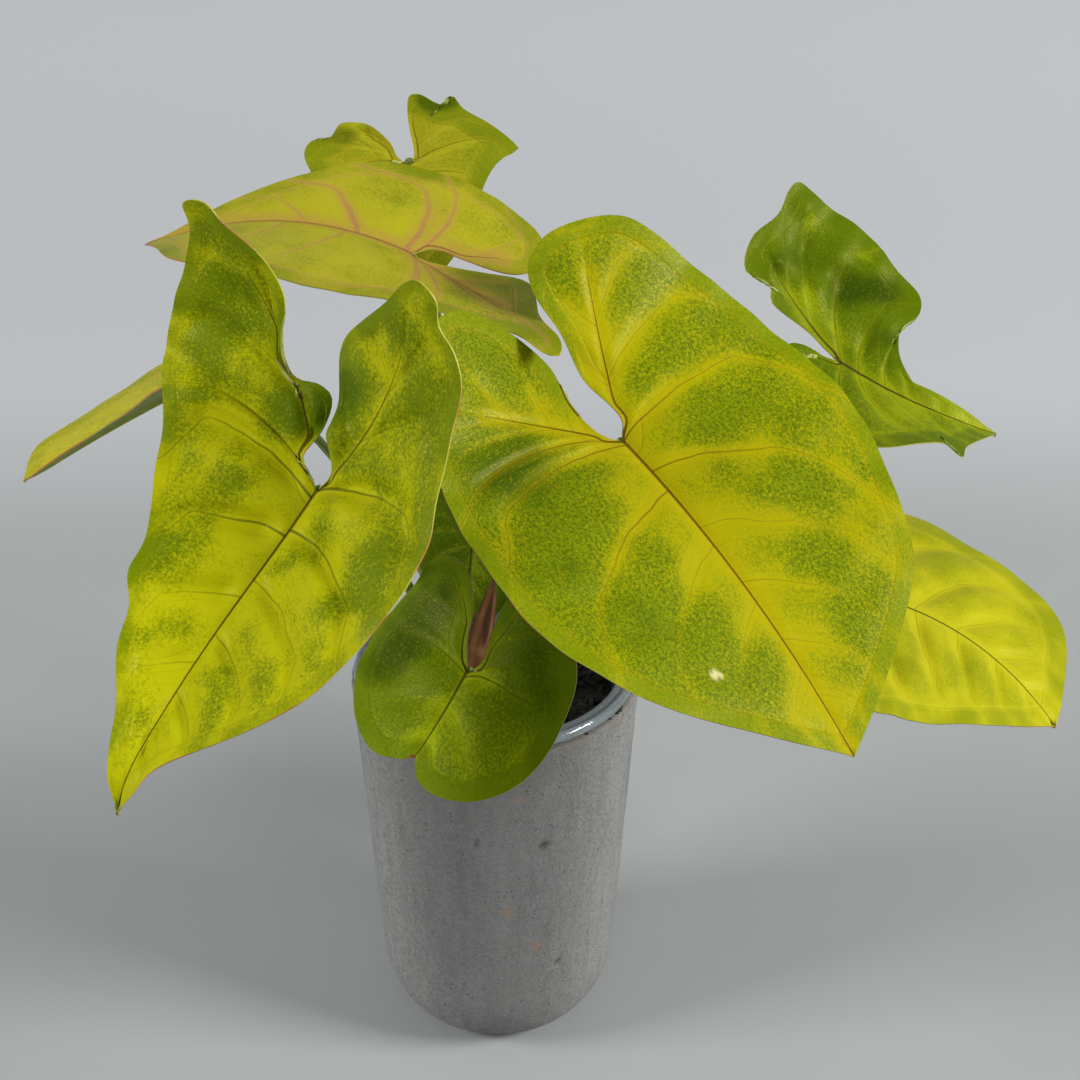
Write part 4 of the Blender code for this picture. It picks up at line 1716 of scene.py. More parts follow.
    def relief(
        self,
        grid: dict[str, np.ndarray],
        values: dict[str, np.ndarray],
        bumps: Iterable[tuple[float, float, float, float]],
    ) -> np.ndarray:
        """Height of the upper face over its smooth shape: grooved ribs, quilting and waves.

        Args:
            grid: What grid gives.
            values: What values gives.
            bumps: Raised spots as (along, out, size, height).

        Returns:
            One height for each vertex.
        """
        leaf = self.leaf
        along, out = grid["flat"].reshape(-1, 2).T
        row = grid["row"].ravel()
        middle = smooth_step(row / 0.22) * smooth_step((1.0 - row) / 0.25)
        ridge = 0.5 + 0.5 * np.cos(2.0 * math.pi * values["phase"])
        scale = np.clip(values["gap"] / 9.0, 0.0, 1.3)
        lift = -leaf.quilting * scale * middle * (ridge**2.5) * np.clip(values["strength"] * 1.6, 0.3, 1.0)
        ends = smooth_step(8.0 * (1.0 - along / leaf.length))
        ends = ends * smooth_step(8.0 * (1.0 + along / leaf.lobe_length))
        lift -= 0.45 * np.exp(-((values["rib"] / 1.3) ** 2)) * ends
        lift -= 0.10 * np.exp(-(((values["edge"] - 5.0) / 0.9) ** 2)) * smooth_step(row / 0.5)
        outward = np.clip(out / leaf.half_width, 0.0, 2.0) ** 1.6
        for place_along, place_out, size, height in bumps:
            near = np.exp(-((np.hypot(along - place_along, out - place_out) / size) ** 2))
            lift += height * near * smooth_step(values["rib"] / 3.0)
        for height, length, start in leaf.waves:
            lift += height * outward * np.sin(math.tau * ((along + 0.3 * out) / length + start))
        return lift

    def half(self, side: int) -> bpy.types.Mesh:
        """One half as a mesh with its attributes.

        Args:
            side: 1 for the right half, -1 for the left.

        Returns:
            The mesh, in millimetres.
        """
        grid = self.grid(side)
        values = self.values(grid, side)
        points = grid["flat"].reshape(-1, 2)
        lift = self.relief(grid, values, self.detail(side).bumps)
        places = self.place(points[:, 0], points[:, 1], side, lift)
        made = bmesh.new()
        columns = grid["flat"].shape[0]
        bmesh.ops.create_grid(made, x_segments=self.rows, y_segments=columns - 1, size=1.0)
        if side < 0:
            bmesh.ops.reverse_faces(made, faces=made.faces)
        mesh = written(made, "half")
        mesh.vertices.foreach_set("co", places.astype(np.float32).ravel())
        corner = np.zeros(len(mesh.loops), np.int32)
        mesh.loops.foreach_get("vertex_index", corner)
        for name, value in values.items():
            layer = mesh.attributes.new(name, "FLOAT", "CORNER")
            layer.data.foreach_set("value", value[corner].astype(np.float32))
        flat = points * np.array([UV_PER_MM, UV_PER_MM * side])
        mesh.uv_layers.new(name="flat").data.foreach_set("uv", flat[corner].astype(np.float32).ravel())
        thick = mesh.attributes.new("thick", "FLOAT", "POINT")
        ribbed = np.exp(-((values["rib"] / (1.5 * values["rib_width"] + 0.25)) ** 2))
        ribbed *= 1.0 - 0.75 * np.clip(np.abs(points[:, 0]) / self.leaf.length, 0.0, 1.0)
        ribbed *= smooth_step((values["edge"] - 0.5) / 2.5)
        thick.data.foreach_set("value", ribbed.astype(np.float32))
        return mesh

    def build(self) -> Piece:
        """Make the blade: both halves joined, thickened below, with grooved ribs.

        Returns:
            The piece.
        """
        leaf = self.leaf
        made = bmesh.new()
        for side in (1, -1):
            mesh = self.half(side)
            made.from_mesh(mesh)
            bpy.data.meshes.remove(mesh)
        bmesh.ops.remove_doubles(made, verts=made.verts, dist=0.02)
        bmesh.ops.dissolve_degenerate(made, edges=made.edges, dist=0.01)
        made.normal_update()
        facing = sum((face.normal * face.calc_area() for face in made.faces), Vector())
        LOG.info("%s faces up %.2f", leaf.name, facing.dot(self.up) / max(facing.length, 1e-6))
        for edge in made.edges:
            edge.smooth = not edge.is_boundary
        name = "blade_" + leaf.name
        underside = UndersideFinish(name + "_under")
        materials = [leaf.finish.material(), underside.material(), margin_material()]
        piece = finished(made, name + "_skin", materials, [name], None)
        weights = np.zeros(len(piece.data.vertices), np.float32)
        piece.data.attributes["thick"].data.foreach_get("value", weights)
        group = piece.vertex_groups.new(name="ribs")
        for index, weight in enumerate(weights):
            group.add([index], float(weight), "REPLACE")
        shell = piece.modifiers.new("thickness", "SOLIDIFY")
        shell.thickness = self.RIB_THICKNESS * MM
        shell.offset = -0.8
        shell.vertex_group = group.name
        shell.thickness_vertex_group = self.THICKNESS / self.RIB_THICKNESS
        shell.material_offset = 1
        shell.material_offset_rim = 2
        return piece


def margin_material() -> Material:
    """The one material that all blade margins share."""
    finish = MarginFinish()
    return bpy.data.materials.get(finish.name) or finish.material()


class Stalk:
    """Builds the stalk of a leaf: grooved at its foot, with a collar under the blade."""

    RINGS = 60
    SIDES = 20
    BASE_RADIUS = 1.7
    TIP_RADIUS = 1.1
    GAP = 0.6

    def __init__(self, leaf: Leaf) -> None:
        """Keep the leaf."""
        self.leaf = leaf

    def path(self) -> list[Vector]:
        """Curve from the side of the stem up to the underside of the blade.

        Returns:
            Points along it.
        """
        leaf = self.leaf
        stem = STEMS[leaf.stem]
        around = math.radians(leaf.stem_angle)
        offset = stem.radius + self.BASE_RADIUS + self.GAP
        foot = Vector((stem.x, stem.y, 0.0)) + polar(offset, around, stem.soil_top + self.GAP)
        _, forward, up = Blade(leaf).axes()
        end = Vector(leaf.junction) - up * 0.9 - forward * 0.6
        start_pull = foot + Vector((leaf.stalk_lean[0], leaf.stalk_lean[1], leaf.stalk_rise))
        end_pull = end - up * leaf.stalk_reach
        corners = (foot, start_pull, end_pull, end)
        return [bezier(corners, index / self.RINGS) for index in range(self.RINGS + 1)]

    def build(self, finish: Material) -> Piece:
        """Make the stalk.

        Args:
            finish: Its material.

        Returns:
            The piece.
        """
        path = self.path()
        made = bmesh.new()
        bmesh.ops.create_grid(made, x_segments=self.SIDES, y_segments=self.RINGS, size=1.0, calc_uvs=False)
        made.verts.ensure_lookup_table()
        stem = STEMS[self.leaf.stem]
        inward = Vector((stem.x, stem.y, path[0].z)) - path[0]
        side = inward.normalized()
        frames = []
        for index in range(self.RINGS + 1):
            along = (path[min(index + 1, self.RINGS)] - path[max(index - 1, 0)]).normalized()
            side = (side - along * side.dot(along)).normalized()
            frames.append((side.copy(), along.cross(side)))
        lengths = [0.0]
        for start, end in zip(path, path[1:]):
            lengths.append(lengths[-1] + (end - start).length)
        uv = made.loops.layers.uv.new("flat")
        for number, vertex in enumerate(made.verts):
            ring, step = divmod(number, self.SIDES + 1)
            share = ring / self.RINGS
            angle = math.tau * step / self.SIDES
            radius = self.BASE_RADIUS + (self.TIP_RADIUS - self.BASE_RADIUS) * share**0.6
            groove = 0.16 * math.exp(-((math.remainder(angle, math.tau) / 0.5) ** 2))
            collar = 0.20 * math.exp(-(((share - 0.985) / 0.03) ** 2))
            radius *= 1.0 - groove * (1.0 - share) + collar
            across, out = frames[ring]
            vertex.co = path[ring] + (across * math.cos(angle) + out * math.sin(angle)) * radius
            for loop in vertex.link_loops:
                loop[uv].uv = (0.1 * step / self.SIDES, lengths[ring] * UV_PER_MM)
        bmesh.ops.remove_doubles(made, verts=made.verts, dist=0.001)
        open_edges = [edge for edge in made.edges if edge.is_boundary]
        bmesh.ops.holes_fill(made, edges=open_edges, sides=0)
        bmesh.ops.recalc_face_normals(made, faces=made.faces)
        name = "stalk_" + self.leaf.name
        return finished(made, name + "_skin", [finish], [name])


# The leaves

MIDDLE_HALF: Outline = (
    (0, 0), (-4, 3), (-9, 7), (-11, 12), (-6, 16), (2, 17), (12, 14), (22, 8), (30, 0),
)

LEAVES = (
    Leaf(
        name="front_right",
        junction=(32.5, -42, 210.4),
        heading=-43, pitch=-27, roll=-12,
        length=93, half_width=54, lobe_length=53,
        droop=15, twist=-2, sweep=-8,
        fold=(10, 10), cup=(-10, -10),
        lobe_lift=(30, 30), lobe_sweep=(-9, -9), lobe_twist=(3, 3), lobe_fold=9,
        right=((0, 0), (-5, 4), (-15, 5), (-26, 2), (-40, 6), (-50, 13), (-53, 22), (-47, 32), (-36, 40),
               (-18, 48), (2, 52), (24, 54), (44, 49), (62, 38), (80, 18), (93, 0)),
        left=((0, 0), (-6, 4), (-18, 3), (-30, 6), (-42, 7), (-49, 11), (-51, 20), (-46, 33), (-38, 40),
              (-20, 46), (2, 52), (26, 54), (45, 48), (62, 40), (78, 21), (93, 0)),
        stem="stem_right", stem_angle=-60, stalk_rise=55, stalk_reach=30,
        slot=BladeSlot.MOTTLED,
        finish=BladeFinish(
            "blade_front_right_top", bias=0.1, spread=0.65, band=0.15, clouds=1.2, grain=1.2, specks=0.5,
            net=0.75, hem=4.4, yellow=(0.295, 0.27, 0.001), green=(0.155, 0.195, 0.001),
            deep=(0.035, 0.07, 0.0005), halo=(0.36, 0.285, 0.001), coat=0.03, halo_width=4.5,
            seed=(0.3, 0.1, 0),
        ),
        right_detail=HalfDetail(
            veins=(-0.75, -0.45, -0.1, 0.01, 0.18, 0.36, 0.54, 0.74),
            strength=(0.3, 0.4, 1, 1, 1, 0.5, 0.4, 0.3),
            reach=((-1, 0), (-0.1, 0.2), (0, 0.27), (0.02, 0.31), (0.18, 0.54), (0.36, 0.69), (0.54, 0.8),
                   (0.74, 0.9), (1, 1)),
            patches=(
                Patch(-7, 29, 15, 0.9), Patch(-38, 16, 13, 0.5), Patch(20, 40, 15, 0.5),
                Patch(46, 31, 13, 0.6), Patch(66, 14, 9, 0.5), Patch(-22, 44, 12, 0.4),
                Patch(10, 10, 9, -0.2), Patch(35, 6, 10, -0.2),
            ),
            rib=(-25, 27),
        ),
        left_detail=HalfDetail(
            veins=(-0.72, -0.4, 0, 0.11, 0.3, 0.48, 0.66, 0.82),
            strength=(0.4, 0.5, 1, 1, 0.5, 0.5, 0.4, 0.3),
            reach=((-1, 0), (0, 0.36), (0.11, 0.585), (0.3, 0.7), (0.48, 0.785), (0.66, 0.865),
                   (0.82, 0.93), (1, 1)),
            patches=(
                Patch(-32, 28, 10, 0.35), Patch(-44, 13, 9, 0.6), Patch(-8, 44, 10, 0.2),
                Patch(12, 24, 8, 0.3), Patch(26, 10, 14, -0.25), Patch(54, 8, 12, -0.1),
                Patch(33, 30, 7, 0.3), Patch(68, 20, 8, 0.3), Patch(50, 20, 7, 0.2),
                # Patch(50, 38, 10, -0.4) is a painted highlight: a paler, yellower spot where the blade's
                # gloss shines, partly real pale mottling.
                Patch(-22, 14, 8, -0.2), Patch(50, 38, 10, -0.4),
            ),
            rib=(-38, 21),
        ),
        scars=((60.6, 22.6, 1.3), (61.4, 21.4, 1)),
        burns=((3.5, -1.9, 0.35),),
        quilting=0.5,
        columns=2,
    ),
    Leaf(
        name="front_left",
        junction=(-40, -60, 206.9),
        heading=-124, pitch=-48, roll=2,
        length=88, half_width=50, lobe_length=50,
        droop=-31, twist=-12, sweep=-8,
        fold=(24, 24), cup=(-15, -15),
        lobe_lift=(40, 40), lobe_sweep=(-4, -28), lobe_twist=(8, 8), lobe_fold=2,
        right=((0, 0), (-4, 4), (-7, 6), (-10, 5), (-14, 3), (-19, 2), (-23, 3), (-25, 7), (-25, 12),
               (-29, 16), (-36, 17), (-46, 16.5), (-56, 21), (-66, 29), (-73, 33), (-73, 39), (-66, 39),
               (-54, 42), (-36, 46), (-19, 46), (-3, 41), (10, 38), (27, 32), (38, 31), (46, 26),
               (57, 22), (68, 14), (78, 8), (88, 0)),
        left=((0, 0), (-4, 3), (-8, 3), (-14, 1.5), (-21, 1.5), (-28, 1.5), (-33, 3), (-37, 8), (-40, 17),
              (-43, 28), (-46, 37), (-46, 43), (-42, 46), (-37, 43.5), (-32, 46), (-26, 46), (-17, 43),
              (-6, 41), (6, 42), (20, 40), (32, 36), (45, 31), (53, 26), (60, 20), (67, 13), (73, 7),
              (79, 2.5), (88, 0)),
        stem="stem_front", stem_angle=-160, stalk_rise=50, stalk_reach=34,
        stalk_lean=(-12, -2),
        slot=BladeSlot.MOTTLED,
        finish=BladeFinish(
            "blade_front_left_top", yellow=(0.35, 0.345, 0.002), green=(0.125, 0.165, 0.001),
            deep=(0.05, 0.09, 0.0006), rib=(0.045, 0.03, 0.003), side=(0.08, 0.085, 0.002),
            halo=(0.32, 0.3, 0.002), bias=0.14, spread=0.35, band=0.1, hem=3.6, clouds=2.1, grain=1,
            specks=0.4, net=0.5, side_width=0.5, side_share=1, halo_share=0.3, seed=(2.3, 0.7, 0),
        ),
        right_detail=HalfDetail(
            veins=(-0.75, -0.42, -0.05, 0.02, 0.14, 0.34, 0.55, 0.78),
            strength=(0.3, 0.4, 0.7, 0.9, 0.9, 0.5, 0.4, 0.3),
            patches=(
                Patch(-38, 24, 16, 0.6), Patch(-14, 14, 10, 0.55), Patch(32, 31, 10, 0.5),
                Patch(-58, 35, 14, 0.4), Patch(-4, 38, 8, 0.35), Patch(20, 12, 12, -0.3),
                Patch(2, 24, 10, -0.25), Patch(14, 4, 8, 0.25), Patch(-18, 5, 6, 1.1),
            ),
            bumps=((-18, 6, 4.5, 2.5), (-2, 16, 8, 1.2), (24, 20, 9, 1.2), (-40, 30, 9, -1.2)),
            bends=(Bend(72, 0, 0, -50, 14),),
        ),
        left_detail=HalfDetail(
            veins=(-0.72, -0.4, 0, 0.12, 0.28, 0.46, 0.65, 0.82),
            strength=(0.3, 0.4, 0.9, 0.9, 0.5, 0.5, 0.4, 0.3),
            patches=(
                Patch(-38, 26, 17, 0.45), Patch(10, 31, 10, 0.5), Patch(-12, 36, 11, 0.4),
                Patch(-20, 10, 9, 0.5), Patch(34, 14, 13, -0.25), Patch(60, 8, 12, -0.2),
                Patch(2, 16, 7, -0.2), Patch(-24, 2, 6, 1),
            ),
            bumps=((-14, 4, 5, 4), (2, 12, 6, 1.5), (18, 18, 8, 1)),
            bends=(Bend(72, 0, 0, -50, 14),),
        ),
        bow=6,
        quilting=2.2,
        columns=2,
    ),
    Leaf(
        name="top",
        junction=(-20.3, 10, 236.7),
        heading=166, pitch=14, roll=5,
        length=74, half_width=45, lobe_length=50,
        droop=36, sweep=4,
        fold=(14, 14), cup=(-14, -16),
        lobe_lift=(-8, 12), lobe_sweep=(0, -20),
        right=((0, 0), (-4, 3.5), (-8, 4.5), (-12, 4), (-20, 4), (-27, 6), (-31, 12), (-29, 21),
               (-22, 27), (-12, 31), (4, 34), (18, 32), (33, 25), (50, 14), (64, 4), (74, 0)),
        left=((0, 0), (-4, 2.5), (-8, 2.5), (-13, 2), (-20, 1.2), (-28, 1.5), (-32, 7), (-33, 16),
              (-34, 25), (-38, 35), (-38, 42), (-35, 41), (-30, 34.5), (-22, 31), (-12, 30), (-3, 31),
              (16, 35), (34, 32), (54, 25), (66, 10), (74, 0)),
        stem="stem_back", stem_angle=-70, stalk_rise=70, stalk_reach=30,
        slot=BladeSlot.YELLOW,
        finish=BladeFinish(
            "blade_top_top", yellow=(0.31, 0.285, 0.01), green=(0.15, 0.175, 0.003),
            rib=(0.22, 0.09, 0.035), side=(0.3, 0.13, 0.055), feather=0.75, bias=0.12, spread=0.2,
            clouds=1.3, grain=0.8, specks=0.3, net=0.25, side_width=1.1, halo_width=5,
            halo=(0.32, 0.25, 0.02), seed=(4.1, 1.7, 0),
        ),
        right_detail=HalfDetail(
            veins=(-0.7, -0.1, 0.02, 0.21, 0.4, 0.6, 0.8),
            strength=(0.4, 0.9, 0.9, 1, 0.5, 0.4, 0.3),
            patches=(Patch(-20, 18, 9, 0.3), Patch(10, 30, 8, 0.3)),
        ),
        left_detail=HalfDetail(
            veins=(-0.75, -0.4, -0.1, 0, 0.25, 0.46, 0.65, 0.82),
            strength=(0.6, 0.5, 0.8, 0.8, 0.5, 0.5, 0.4, 0.3),
            patches=(Patch(-24, 18, 14, 0.5), Patch(-34, 32, 9, 0.3)),
            rib=(-26, 20),
        ),
        bow=4,
        burns=((6, -9.5, 0.6), (16.5, 16, 0.7)),
    ),
    Leaf(
        name="top_back",
        junction=(-22.8, 54, 242.8),
        heading=-88, pitch=-72, roll=0,
        length=38, half_width=28, lobe_length=28,
        fold=(10, 10), cup=(-10, -10),
        lobe_lift=(20, 10), lobe_sweep=(0, -15),
        right=((0, 0), (-2, 3), (-6, 5), (-10, 9), (-12, 13), (-12, 18), (-8, 21), (-7, 26), (-3, 28),
               (4, 25), (16, 18), (28, 9), (38, 0)),
        left=((0, 0), (-3, 1.5), (-9, 0.8), (-14, 0.8), (-18, 2), (-18, 5), (-15.5, 8.5), (-14.5, 11.5),
              (-16.5, 13.5), (-13, 16), (-9, 22.5), (-5, 28), (-3, 29.5), (-0.5, 24), (6, 20), (18, 16),
              (28, 9), (38, 0)),
        stem="stem_back", stem_angle=80, stalk_rise=80, stalk_reach=24,
        slot=BladeSlot.DULL,
        finish=BladeFinish(
            "blade_top_back_top", yellow=(0.31, 0.29, 0.012), green=(0.17, 0.2, 0.005),
            deep=(0.06, 0.09, 0.002), rib=(0.12, 0.12, 0.01), side=(0.16, 0.17, 0.01), bias=0.15,
            spread=0.4, clouds=0.9, grain=0.6, specks=0.3, net=0.3, seed=(6.1, 2.7, 0),
        ),
        left_detail=HalfDetail(
            patches=(Patch(-17, 7, 4, 1.2), Patch(-16, 13, 4, 0.8), Patch(-6, 24, 7, 0.3)),
        ),
        right_detail=HalfDetail(bumps=((-11, 16, 3.5, 2.5),), patches=(Patch(-6, 24, 7, 0.4),)),
    ),
    Leaf(
        name="back_right",
        junction=(93.4, 25, 198.2),
        heading=-12, pitch=-24, roll=10,
        length=46, half_width=36, lobe_length=40,
        droop=-4, twist=-12,
        fold=(-22, 52), cup=(-5, -5),
        lobe_lift=(0, 15),
        right=((0, 0), (-5, 1), (-11, 0.8), (-15, 3), (-16, 8), (-13, 18), (-7, 26), (4, 31), (16, 29),
               (26, 22), (32, 18), (37, 20), (38, 14), (46, 0)),
        left=((0, 0), (-5, 1), (-12, 3), (-24, 4), (-28, 8), (-36, 7), (-40, 16), (-38, 26), (-40, 34),
              (-38, 38), (-28, 38), (-18, 38), (-6, 36), (4, 31), (12, 26), (14, 20), (11, 14.5), (12, 9),
              (15, 4), (21, -1), (28, -2.5), (36, -1.5), (46, 0)),
        stem="stem_right", stem_angle=40, stalk_rise=40, stalk_reach=30,
        slot=BladeSlot.GREEN,
        finish=BladeFinish(
            "blade_back_right_top", yellow=(0.22, 0.26, 0.003), green=(0.075, 0.115, 0.001),
            deep=(0.022, 0.045, 0.0005), rib=(0.05, 0.025, 0.008), side=(0.12, 0.13, 0.003),
            halo=(0.2, 0.23, 0.002), bias=0.4, spread=0.4, clouds=1, grain=0.5, specks=0.25, net=0.35,
            halo_share=0.4, seed=(8.1, 3.7, 0),
        ),
        right_detail=HalfDetail(
            patches=(Patch(20, 10, 12, -0.4), Patch(-10, 12, 10, 0.9)),
        ),
        left_detail=HalfDetail(
            patches=(
                Patch(-6, 20, 9, 0.9), Patch(-25, 20, 8, 0.5), Patch(-36, 32, 6, 0.5),
                Patch(30, 1, 12, -0.5), Patch(4, 24, 6, 0.8), Patch(-16, 33, 6, 0.5),
                Patch(-30, 12, 5, 0.5), Patch(-15, 12, 5, -0.3), Patch(-28, 30, 4, -0.3),
                Patch(-8, 31, 4, -0.3), Patch(8, 10, 6, 0.6),
            ),
            bumps=(
                (-14, 27, 4.5, 2.2), (-24, 24, 4.5, -2), (-6, 20, 4, -2), (-30, 14, 4, 1.6),
                (-3, 30, 4, 2), (-32, 33, 3.5, 1.8), (5, 14, 4, 1.8), (-16, 14, 4, 1.5),
            ),
        ),
        bow=5,
        quilting=1.2,
    ),
    Leaf(
        name="low_right",
        junction=(100.1, 25, 125.9),
        heading=-2, pitch=-10, roll=-3,
        length=72, half_width=45, lobe_length=40,
        droop=27, twist=16, sweep=-43,
        fold=(4, 4), cup=(-14, -14),
        right=((0, 0), (-6, 4), (-18, 8), (-30, 14), (-34, 24), (-26, 36), (-8, 45), (10, 48), (26, 44),
               (42, 37), (56, 25), (66, 12), (72, 0)),
        left=((0, 0), (-6, 4), (-18, 8), (-30, 14), (-34, 24), (-26, 38), (-8, 48), (10, 51), (24, 44),
              (40, 39), (54, 30), (64, 13), (72, 0)),
        stem="stem_right", stem_angle=-10, stalk_rise=42, stalk_reach=8,
        stalk_lean=(14, 4),
        slot=BladeSlot.YELLOW,
        finish=BladeFinish(
            "blade_low_right_top", yellow=(0.4, 0.37, 0.006), green=(0.22, 0.24, 0.003),
            deep=(0.11, 0.14, 0.002), rib=(0.06, 0.06, 0.005), side=(0.2, 0.195, 0.005),
            halo=(0.43, 0.4, 0.012), bias=0.1, spread=0.45, clouds=1.5, grain=0.4, specks=0.2, net=0.15,
            hem=6, seed=(10.1, 4.7, 0),
        ),
        quilting=1.5,
    ),
    Leaf(
        name="far_left",
        junction=(-63.1, 20, 203.6),
        heading=196, pitch=-19, roll=-24,
        length=70, half_width=30, lobe_length=30,
        droop=10, twist=-12,
        fold=(16, 16), cup=(-10, -10),
        right=((0, 0), (-3, 3), (-6, 6), (-8, 11), (-7, 18), (-3, 24), (6, 27), (18, 26), (36, 19),
               (54, 14), (64, 12), (70, 0)),
        left=((0, 0), (-3, 3), (-6, 6), (-8, 11), (-7, 18), (-3, 24), (6, 27), (18, 26), (34, 21),
              (54, 10), (70, 0)),
        stem="stem_back", stem_angle=190, stalk_rise=45, stalk_reach=30,
        slot=BladeSlot.DULL,
        finish=BladeFinish(
            "blade_far_left_top", yellow=(0.44, 0.4, 0.02), green=(0.25, 0.27, 0.005), bias=0.1,
            spread=0.3, clouds=0.8, side=(0.3, 0.17, 0.05), seed=(12.1, 5.7, 0),
        ),
    ),
    Leaf(
        name="low_front",
        junction=(-6.2, -48, 147.5),
        heading=-129, pitch=-42, roll=1,
        length=25, half_width=30, lobe_length=26,
        droop=1, twist=-1, sweep=-8,
        fold=(8, 8), cup=(-21, -21),
        lobe_lift=(35, 35), lobe_sweep=(-7, -7), lobe_twist=(4, 4), lobe_fold=3,
        right=((0, 0), (-4, 2), (-9, 4), (-18, 5), (-27, 9), (-28, 16), (-24, 21), (-14, 26), (0, 32),
               (12, 31), (24, 23), (30, 12), (28, 4), (25, 0)),
        left=((0, 0), (-4, 3), (-12, 3), (-20, 5), (-25, 12), (-22, 21), (-12, 29), (0, 31), (14, 30),
              (24, 23), (29, 13), (29, 5), (25, 0)),
        stem="stem_front", stem_angle=-60, stalk_rise=22, stalk_reach=16,
        slot=BladeSlot.GREEN,
        finish=BladeFinish(
            "blade_low_front_top", yellow=(0.34, 0.4, 0.003), green=(0.13, 0.19, 0.001),
            deep=(0.035, 0.065, 0.0005), rib=(0.05, 0.04, 0.004), side=(0.06, 0.075, 0.003),
            halo=(0.28, 0.32, 0.003), bias=0.35, spread=0.6, spread_width=9, clouds=0.9, grain=0.8,
            specks=0.3, net=0.45, halo_share=0.35, halo_width=2.2, seed=(14.1, 6.7, 0),
        ),
        right_detail=HalfDetail(
            veins=(-0.5, 0.02, 0.35, 0.7),
            strength=(0.4, 0.7, 0.4, 0.3),
            patches=(
                Patch(-8, 18, 14, 0.8), Patch(8, 24, 12, 0.7), Patch(-20, 14, 9, 0.5),
                Patch(14, 3, 6, -0.2),
            ),
        ),
        left_detail=HalfDetail(
            veins=(-0.5, 0.05, 0.4, 0.7),
            strength=(0.3, 1, 0.4, 0.3),
            patches=(
                Patch(-10, 16, 9, 0.6), Patch(14, 20, 9, -0.3), Patch(17, 6, 6, -0.2),
                Patch(0, 26, 8, 0.5),
            ),
        ),
        burns=((25.5, 0.3, 1.2),),
        quilting=0.5,
    ),
    Leaf(
        name="middle",
        junction=(-5.1, -6, 163.3),
        heading=-112, pitch=-72, roll=0,
        length=30, half_width=16, lobe_length=12,
        droop=8,
        fold=(8, 8), cup=(-8, -8),
        right=MIDDLE_HALF,
        left=MIDDLE_HALF,
        stem="stem_front", stem_angle=60, stalk_rise=30, stalk_reach=10,
        slot=BladeSlot.GREEN,
        finish=BladeFinish(
            "blade_middle_top", yellow=(0.16, 0.2, 0.004), green=(0.06, 0.1, 0.002),
            deep=(0.03, 0.06, 0.001), rib=(0.05, 0.06, 0.004), side=(0.06, 0.08, 0.004),
            halo=(0.12, 0.16, 0.004), bias=0.6, seed=(16.1, 7.7, 0),
        ),
    ),
)


@dataclass
class DrySheath:
    """Dried brown sheath of an old leaf: one curled papery strip that narrows to a point."""

    foot: Triple = (-14.5, -20.5, 108.0)
    top: Triple = (0.5, -30.0, 164.0)
    width: float = 4.6
    thickness: float = 0.35
    rows: int = 60
    across: int = 12

    def build(self) -> Piece:
        """Make the sheath.

        Returns:
            The piece.
        """
        made = bmesh.new()
        bmesh.ops.create_grid(made, x_segments=self.across, y_segments=self.rows, size=1.0)
        uv = made.loops.layers.uv.new("flat")
        made.verts.ensure_lookup_table()
        foot, top = Vector(self.foot), Vector(self.top)
        axis = (top - foot).normalized()
        side = Vector((1.0, 0.0, 0.0))
        side = (side - axis * side.dot(axis)).normalized()
        out = axis.cross(side)
        for number, vertex in enumerate(made.verts):
            row, column = divmod(number, self.across + 1)
            share = row / self.rows
            width = self.width * (1.0 - 0.75 * share**2) * (1.0 - share**12)
            crumple = 0.8 * noise.noise(Vector((3.0 * share * 4.0, column * 0.4, 2.0)))
            turn = math.radians(70.0) * (column / self.across - 0.5) * 2.0
            spine = foot.lerp(top, share) + side * 2.0 * math.sin(3.0 * share)
            depth = width * (1.0 - math.cos(turn)) + crumple
            vertex.co = spine + side * width * math.sin(turn) + out * depth
            for loop in vertex.link_loops:
                loop[uv].uv = (0.06 * column / self.across, share * 0.56)
        papery = DryFinish().material()
        piece = finished(made, "dry_sheath_skin", [papery], ["dry_sheath"], None)
        shell = piece.modifiers.new("thickness", "SOLIDIFY")
        shell.thickness = self.thickness * MM
        shell.offset = 0.0
        return piece


# Stage


@dataclass(frozen=True)
class Lamp:
    """One soft box: where it stands and its width and height, in metres, and its watts."""

    name: str
    place: Triple
    size: Pair
    power: float


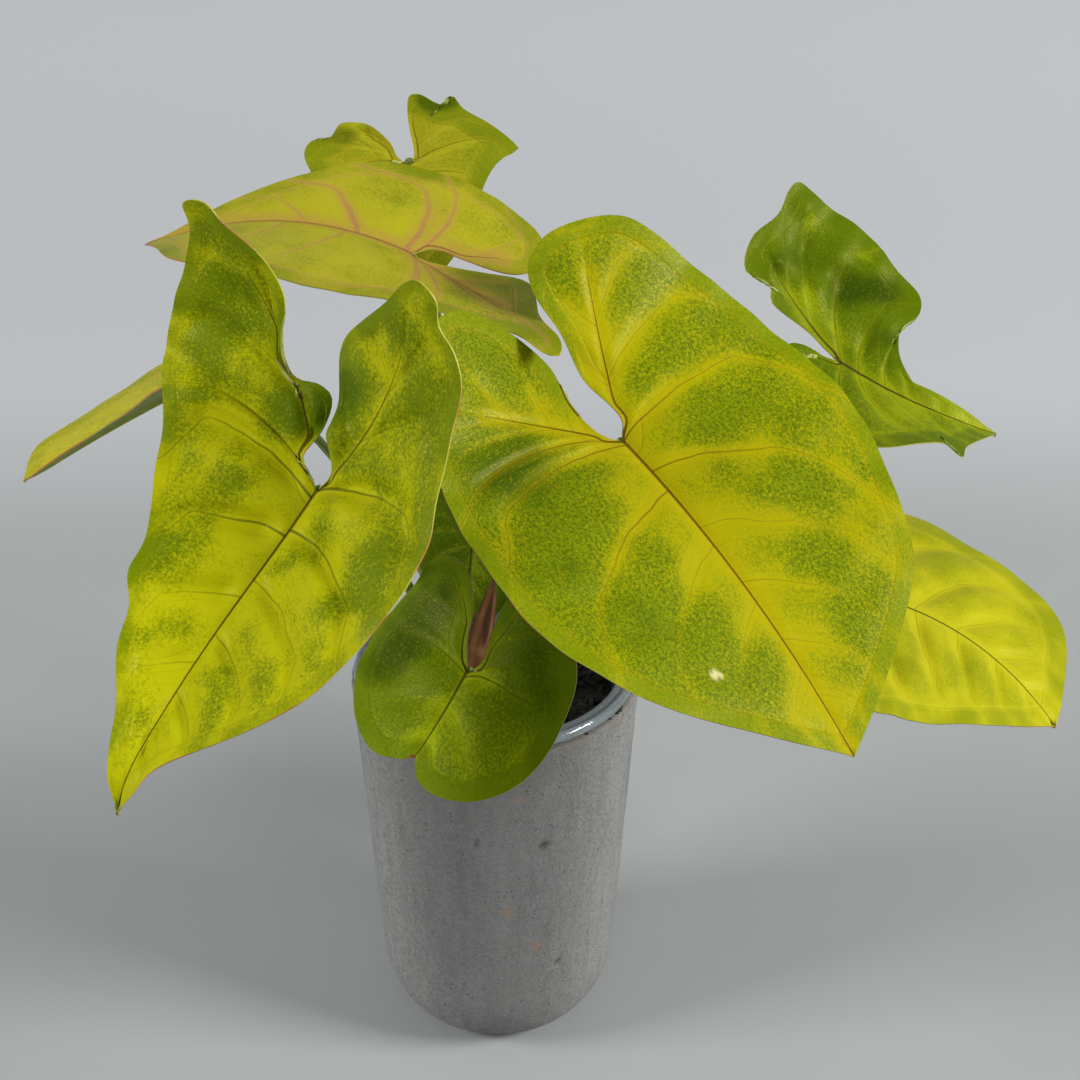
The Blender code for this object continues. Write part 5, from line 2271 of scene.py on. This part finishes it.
@dataclass
class Stage:
    """Pale floor, soft lights and the camera. Lengths are in metres."""

    camera_place: Triple = (0.0124, -0.5169, 0.4681)
    camera_tilt: float = 59.0
    lens: float = 75.0
    sensor: float = 36.0
    floor_size: float = 8.0
    floor_gap: float = 0.0002
    floor_near: tuple[Colour, Colour] = ((0.28, 0.293, 0.290), (0.294, 0.308, 0.306))
    # Painted light: the far colours make the floor lighter far back.
    floor_far_painted_light: tuple[Colour, Colour] = ((0.41, 0.417, 0.425), (0.54, 0.551, 0.562))
    lamps: tuple[Lamp, ...] = (
        Lamp("light_left", (-1.66, -0.58, 1.14), (0.7, 0.5), 32.0),
        Lamp("light_right", (1.66, -0.56, 1.14), (0.7, 0.5), 51.0),
        Lamp("light_front", (0.0, -1.5, 1.3), (0.9, 0.9), 3.0),
    )
    lamp_colour: Colour = (1.0, 0.99, 0.97)
    lamp_aim: Triple = (0.0, 0.0, 0.12)
    sky: Colour = (0.62, 0.66, 0.70)
    sky_strength: float = 0.60

    def floor(self) -> None:
        """Lay a plain pale floor with a very faint grain, painted lighter far back as painted light."""
        made = bmesh.new()
        bmesh.ops.create_grid(made, x_segments=8, y_segments=8, size=0.5 * self.floor_size)
        mesh = written(made, "studio_floor")
        paper, g, shader = new_material("studio_paper")
        place = g.solid()
        grain = g.noise(place, 6.0, 3.0)
        depth = g.add("ShaderNodeSeparateXYZ", {0: place}).outputs[1]
        near = g.mix(g.ease(grain, 0.3, 0.7), *self.floor_near)
        # Painted light: beyond 0.24 m the floor blends to the lighter far colours, which get lighter still
        # towards 1.1 m.
        far = g.mix(g.ease(depth, 0.4, 1.1), *self.floor_far_painted_light)
        g.put(shader.inputs["Base Color"], g.mix(g.ease(depth, 0.24, 0.42), near, far))
        g.put(shader.inputs["Roughness"], 0.9)
        mesh.materials.append(paper)
        floor = placed("studio_floor", mesh)
        floor.location.z = -self.floor_gap

    def light(self, lamp: Lamp) -> None:
        """Add one soft box that points at the plant.

        Args:
            lamp: What it is like.
        """
        data = bpy.data.lights.new(lamp.name, "AREA")
        data.shape = "RECTANGLE"
        data.size, data.size_y = lamp.size
        data.energy = lamp.power
        data.color = self.lamp_colour
        box = placed(lamp.name, data)
        box.location = lamp.place
        box.rotation_euler = (Vector(self.lamp_aim) - Vector(lamp.place)).to_track_quat("-Z", "Y").to_euler()

    def build(self) -> None:
        """Set the stage."""
        self.floor()
        for lamp in self.lamps:
            self.light(lamp)
        scene = bpy.context.scene
        world = bpy.data.worlds.new("studio")
        world.use_nodes = True
        sky = world.node_tree.nodes["Background"]
        sky.inputs["Color"].default_value = (*self.sky, 1.0)
        sky.inputs["Strength"].default_value = self.sky_strength
        scene.world = world
        scene.view_settings.view_transform = "Standard"
        data = bpy.data.cameras.new("camera")
        data.lens = self.lens
        data.sensor_width = self.sensor
        camera = placed("camera", data)
        camera.location = self.camera_place
        camera.rotation_euler = (math.radians(self.camera_tilt), 0.0, 0.0)
        scene.camera = camera


def main() -> None:
    """Build every piece in order."""
    logging.basicConfig(level=logging.INFO, format="%(message)s", stream=sys.stdout)
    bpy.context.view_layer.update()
    cement_pot = CementPot()
    cement_pot.build()
    PlasticPot(cement_pot).build()
    Soil().build()
    stem_finish = StalkFinish(
        "stem_tissue", light=(0.20, 0.24, 0.05), dark=(0.08, 0.11, 0.02), blush_share=0.6,
    ).material()
    stalk_finish = StalkFinish("stalk_tissue").material()
    for stem in STEMS.values():
        stem.build(stem_finish)
    for leaf in LEAVES:
        Blade(leaf).build()
        Stalk(leaf).build(stalk_finish)
    DrySheath().build()
    Stage().build()


if __name__ == "__main__":
    main()
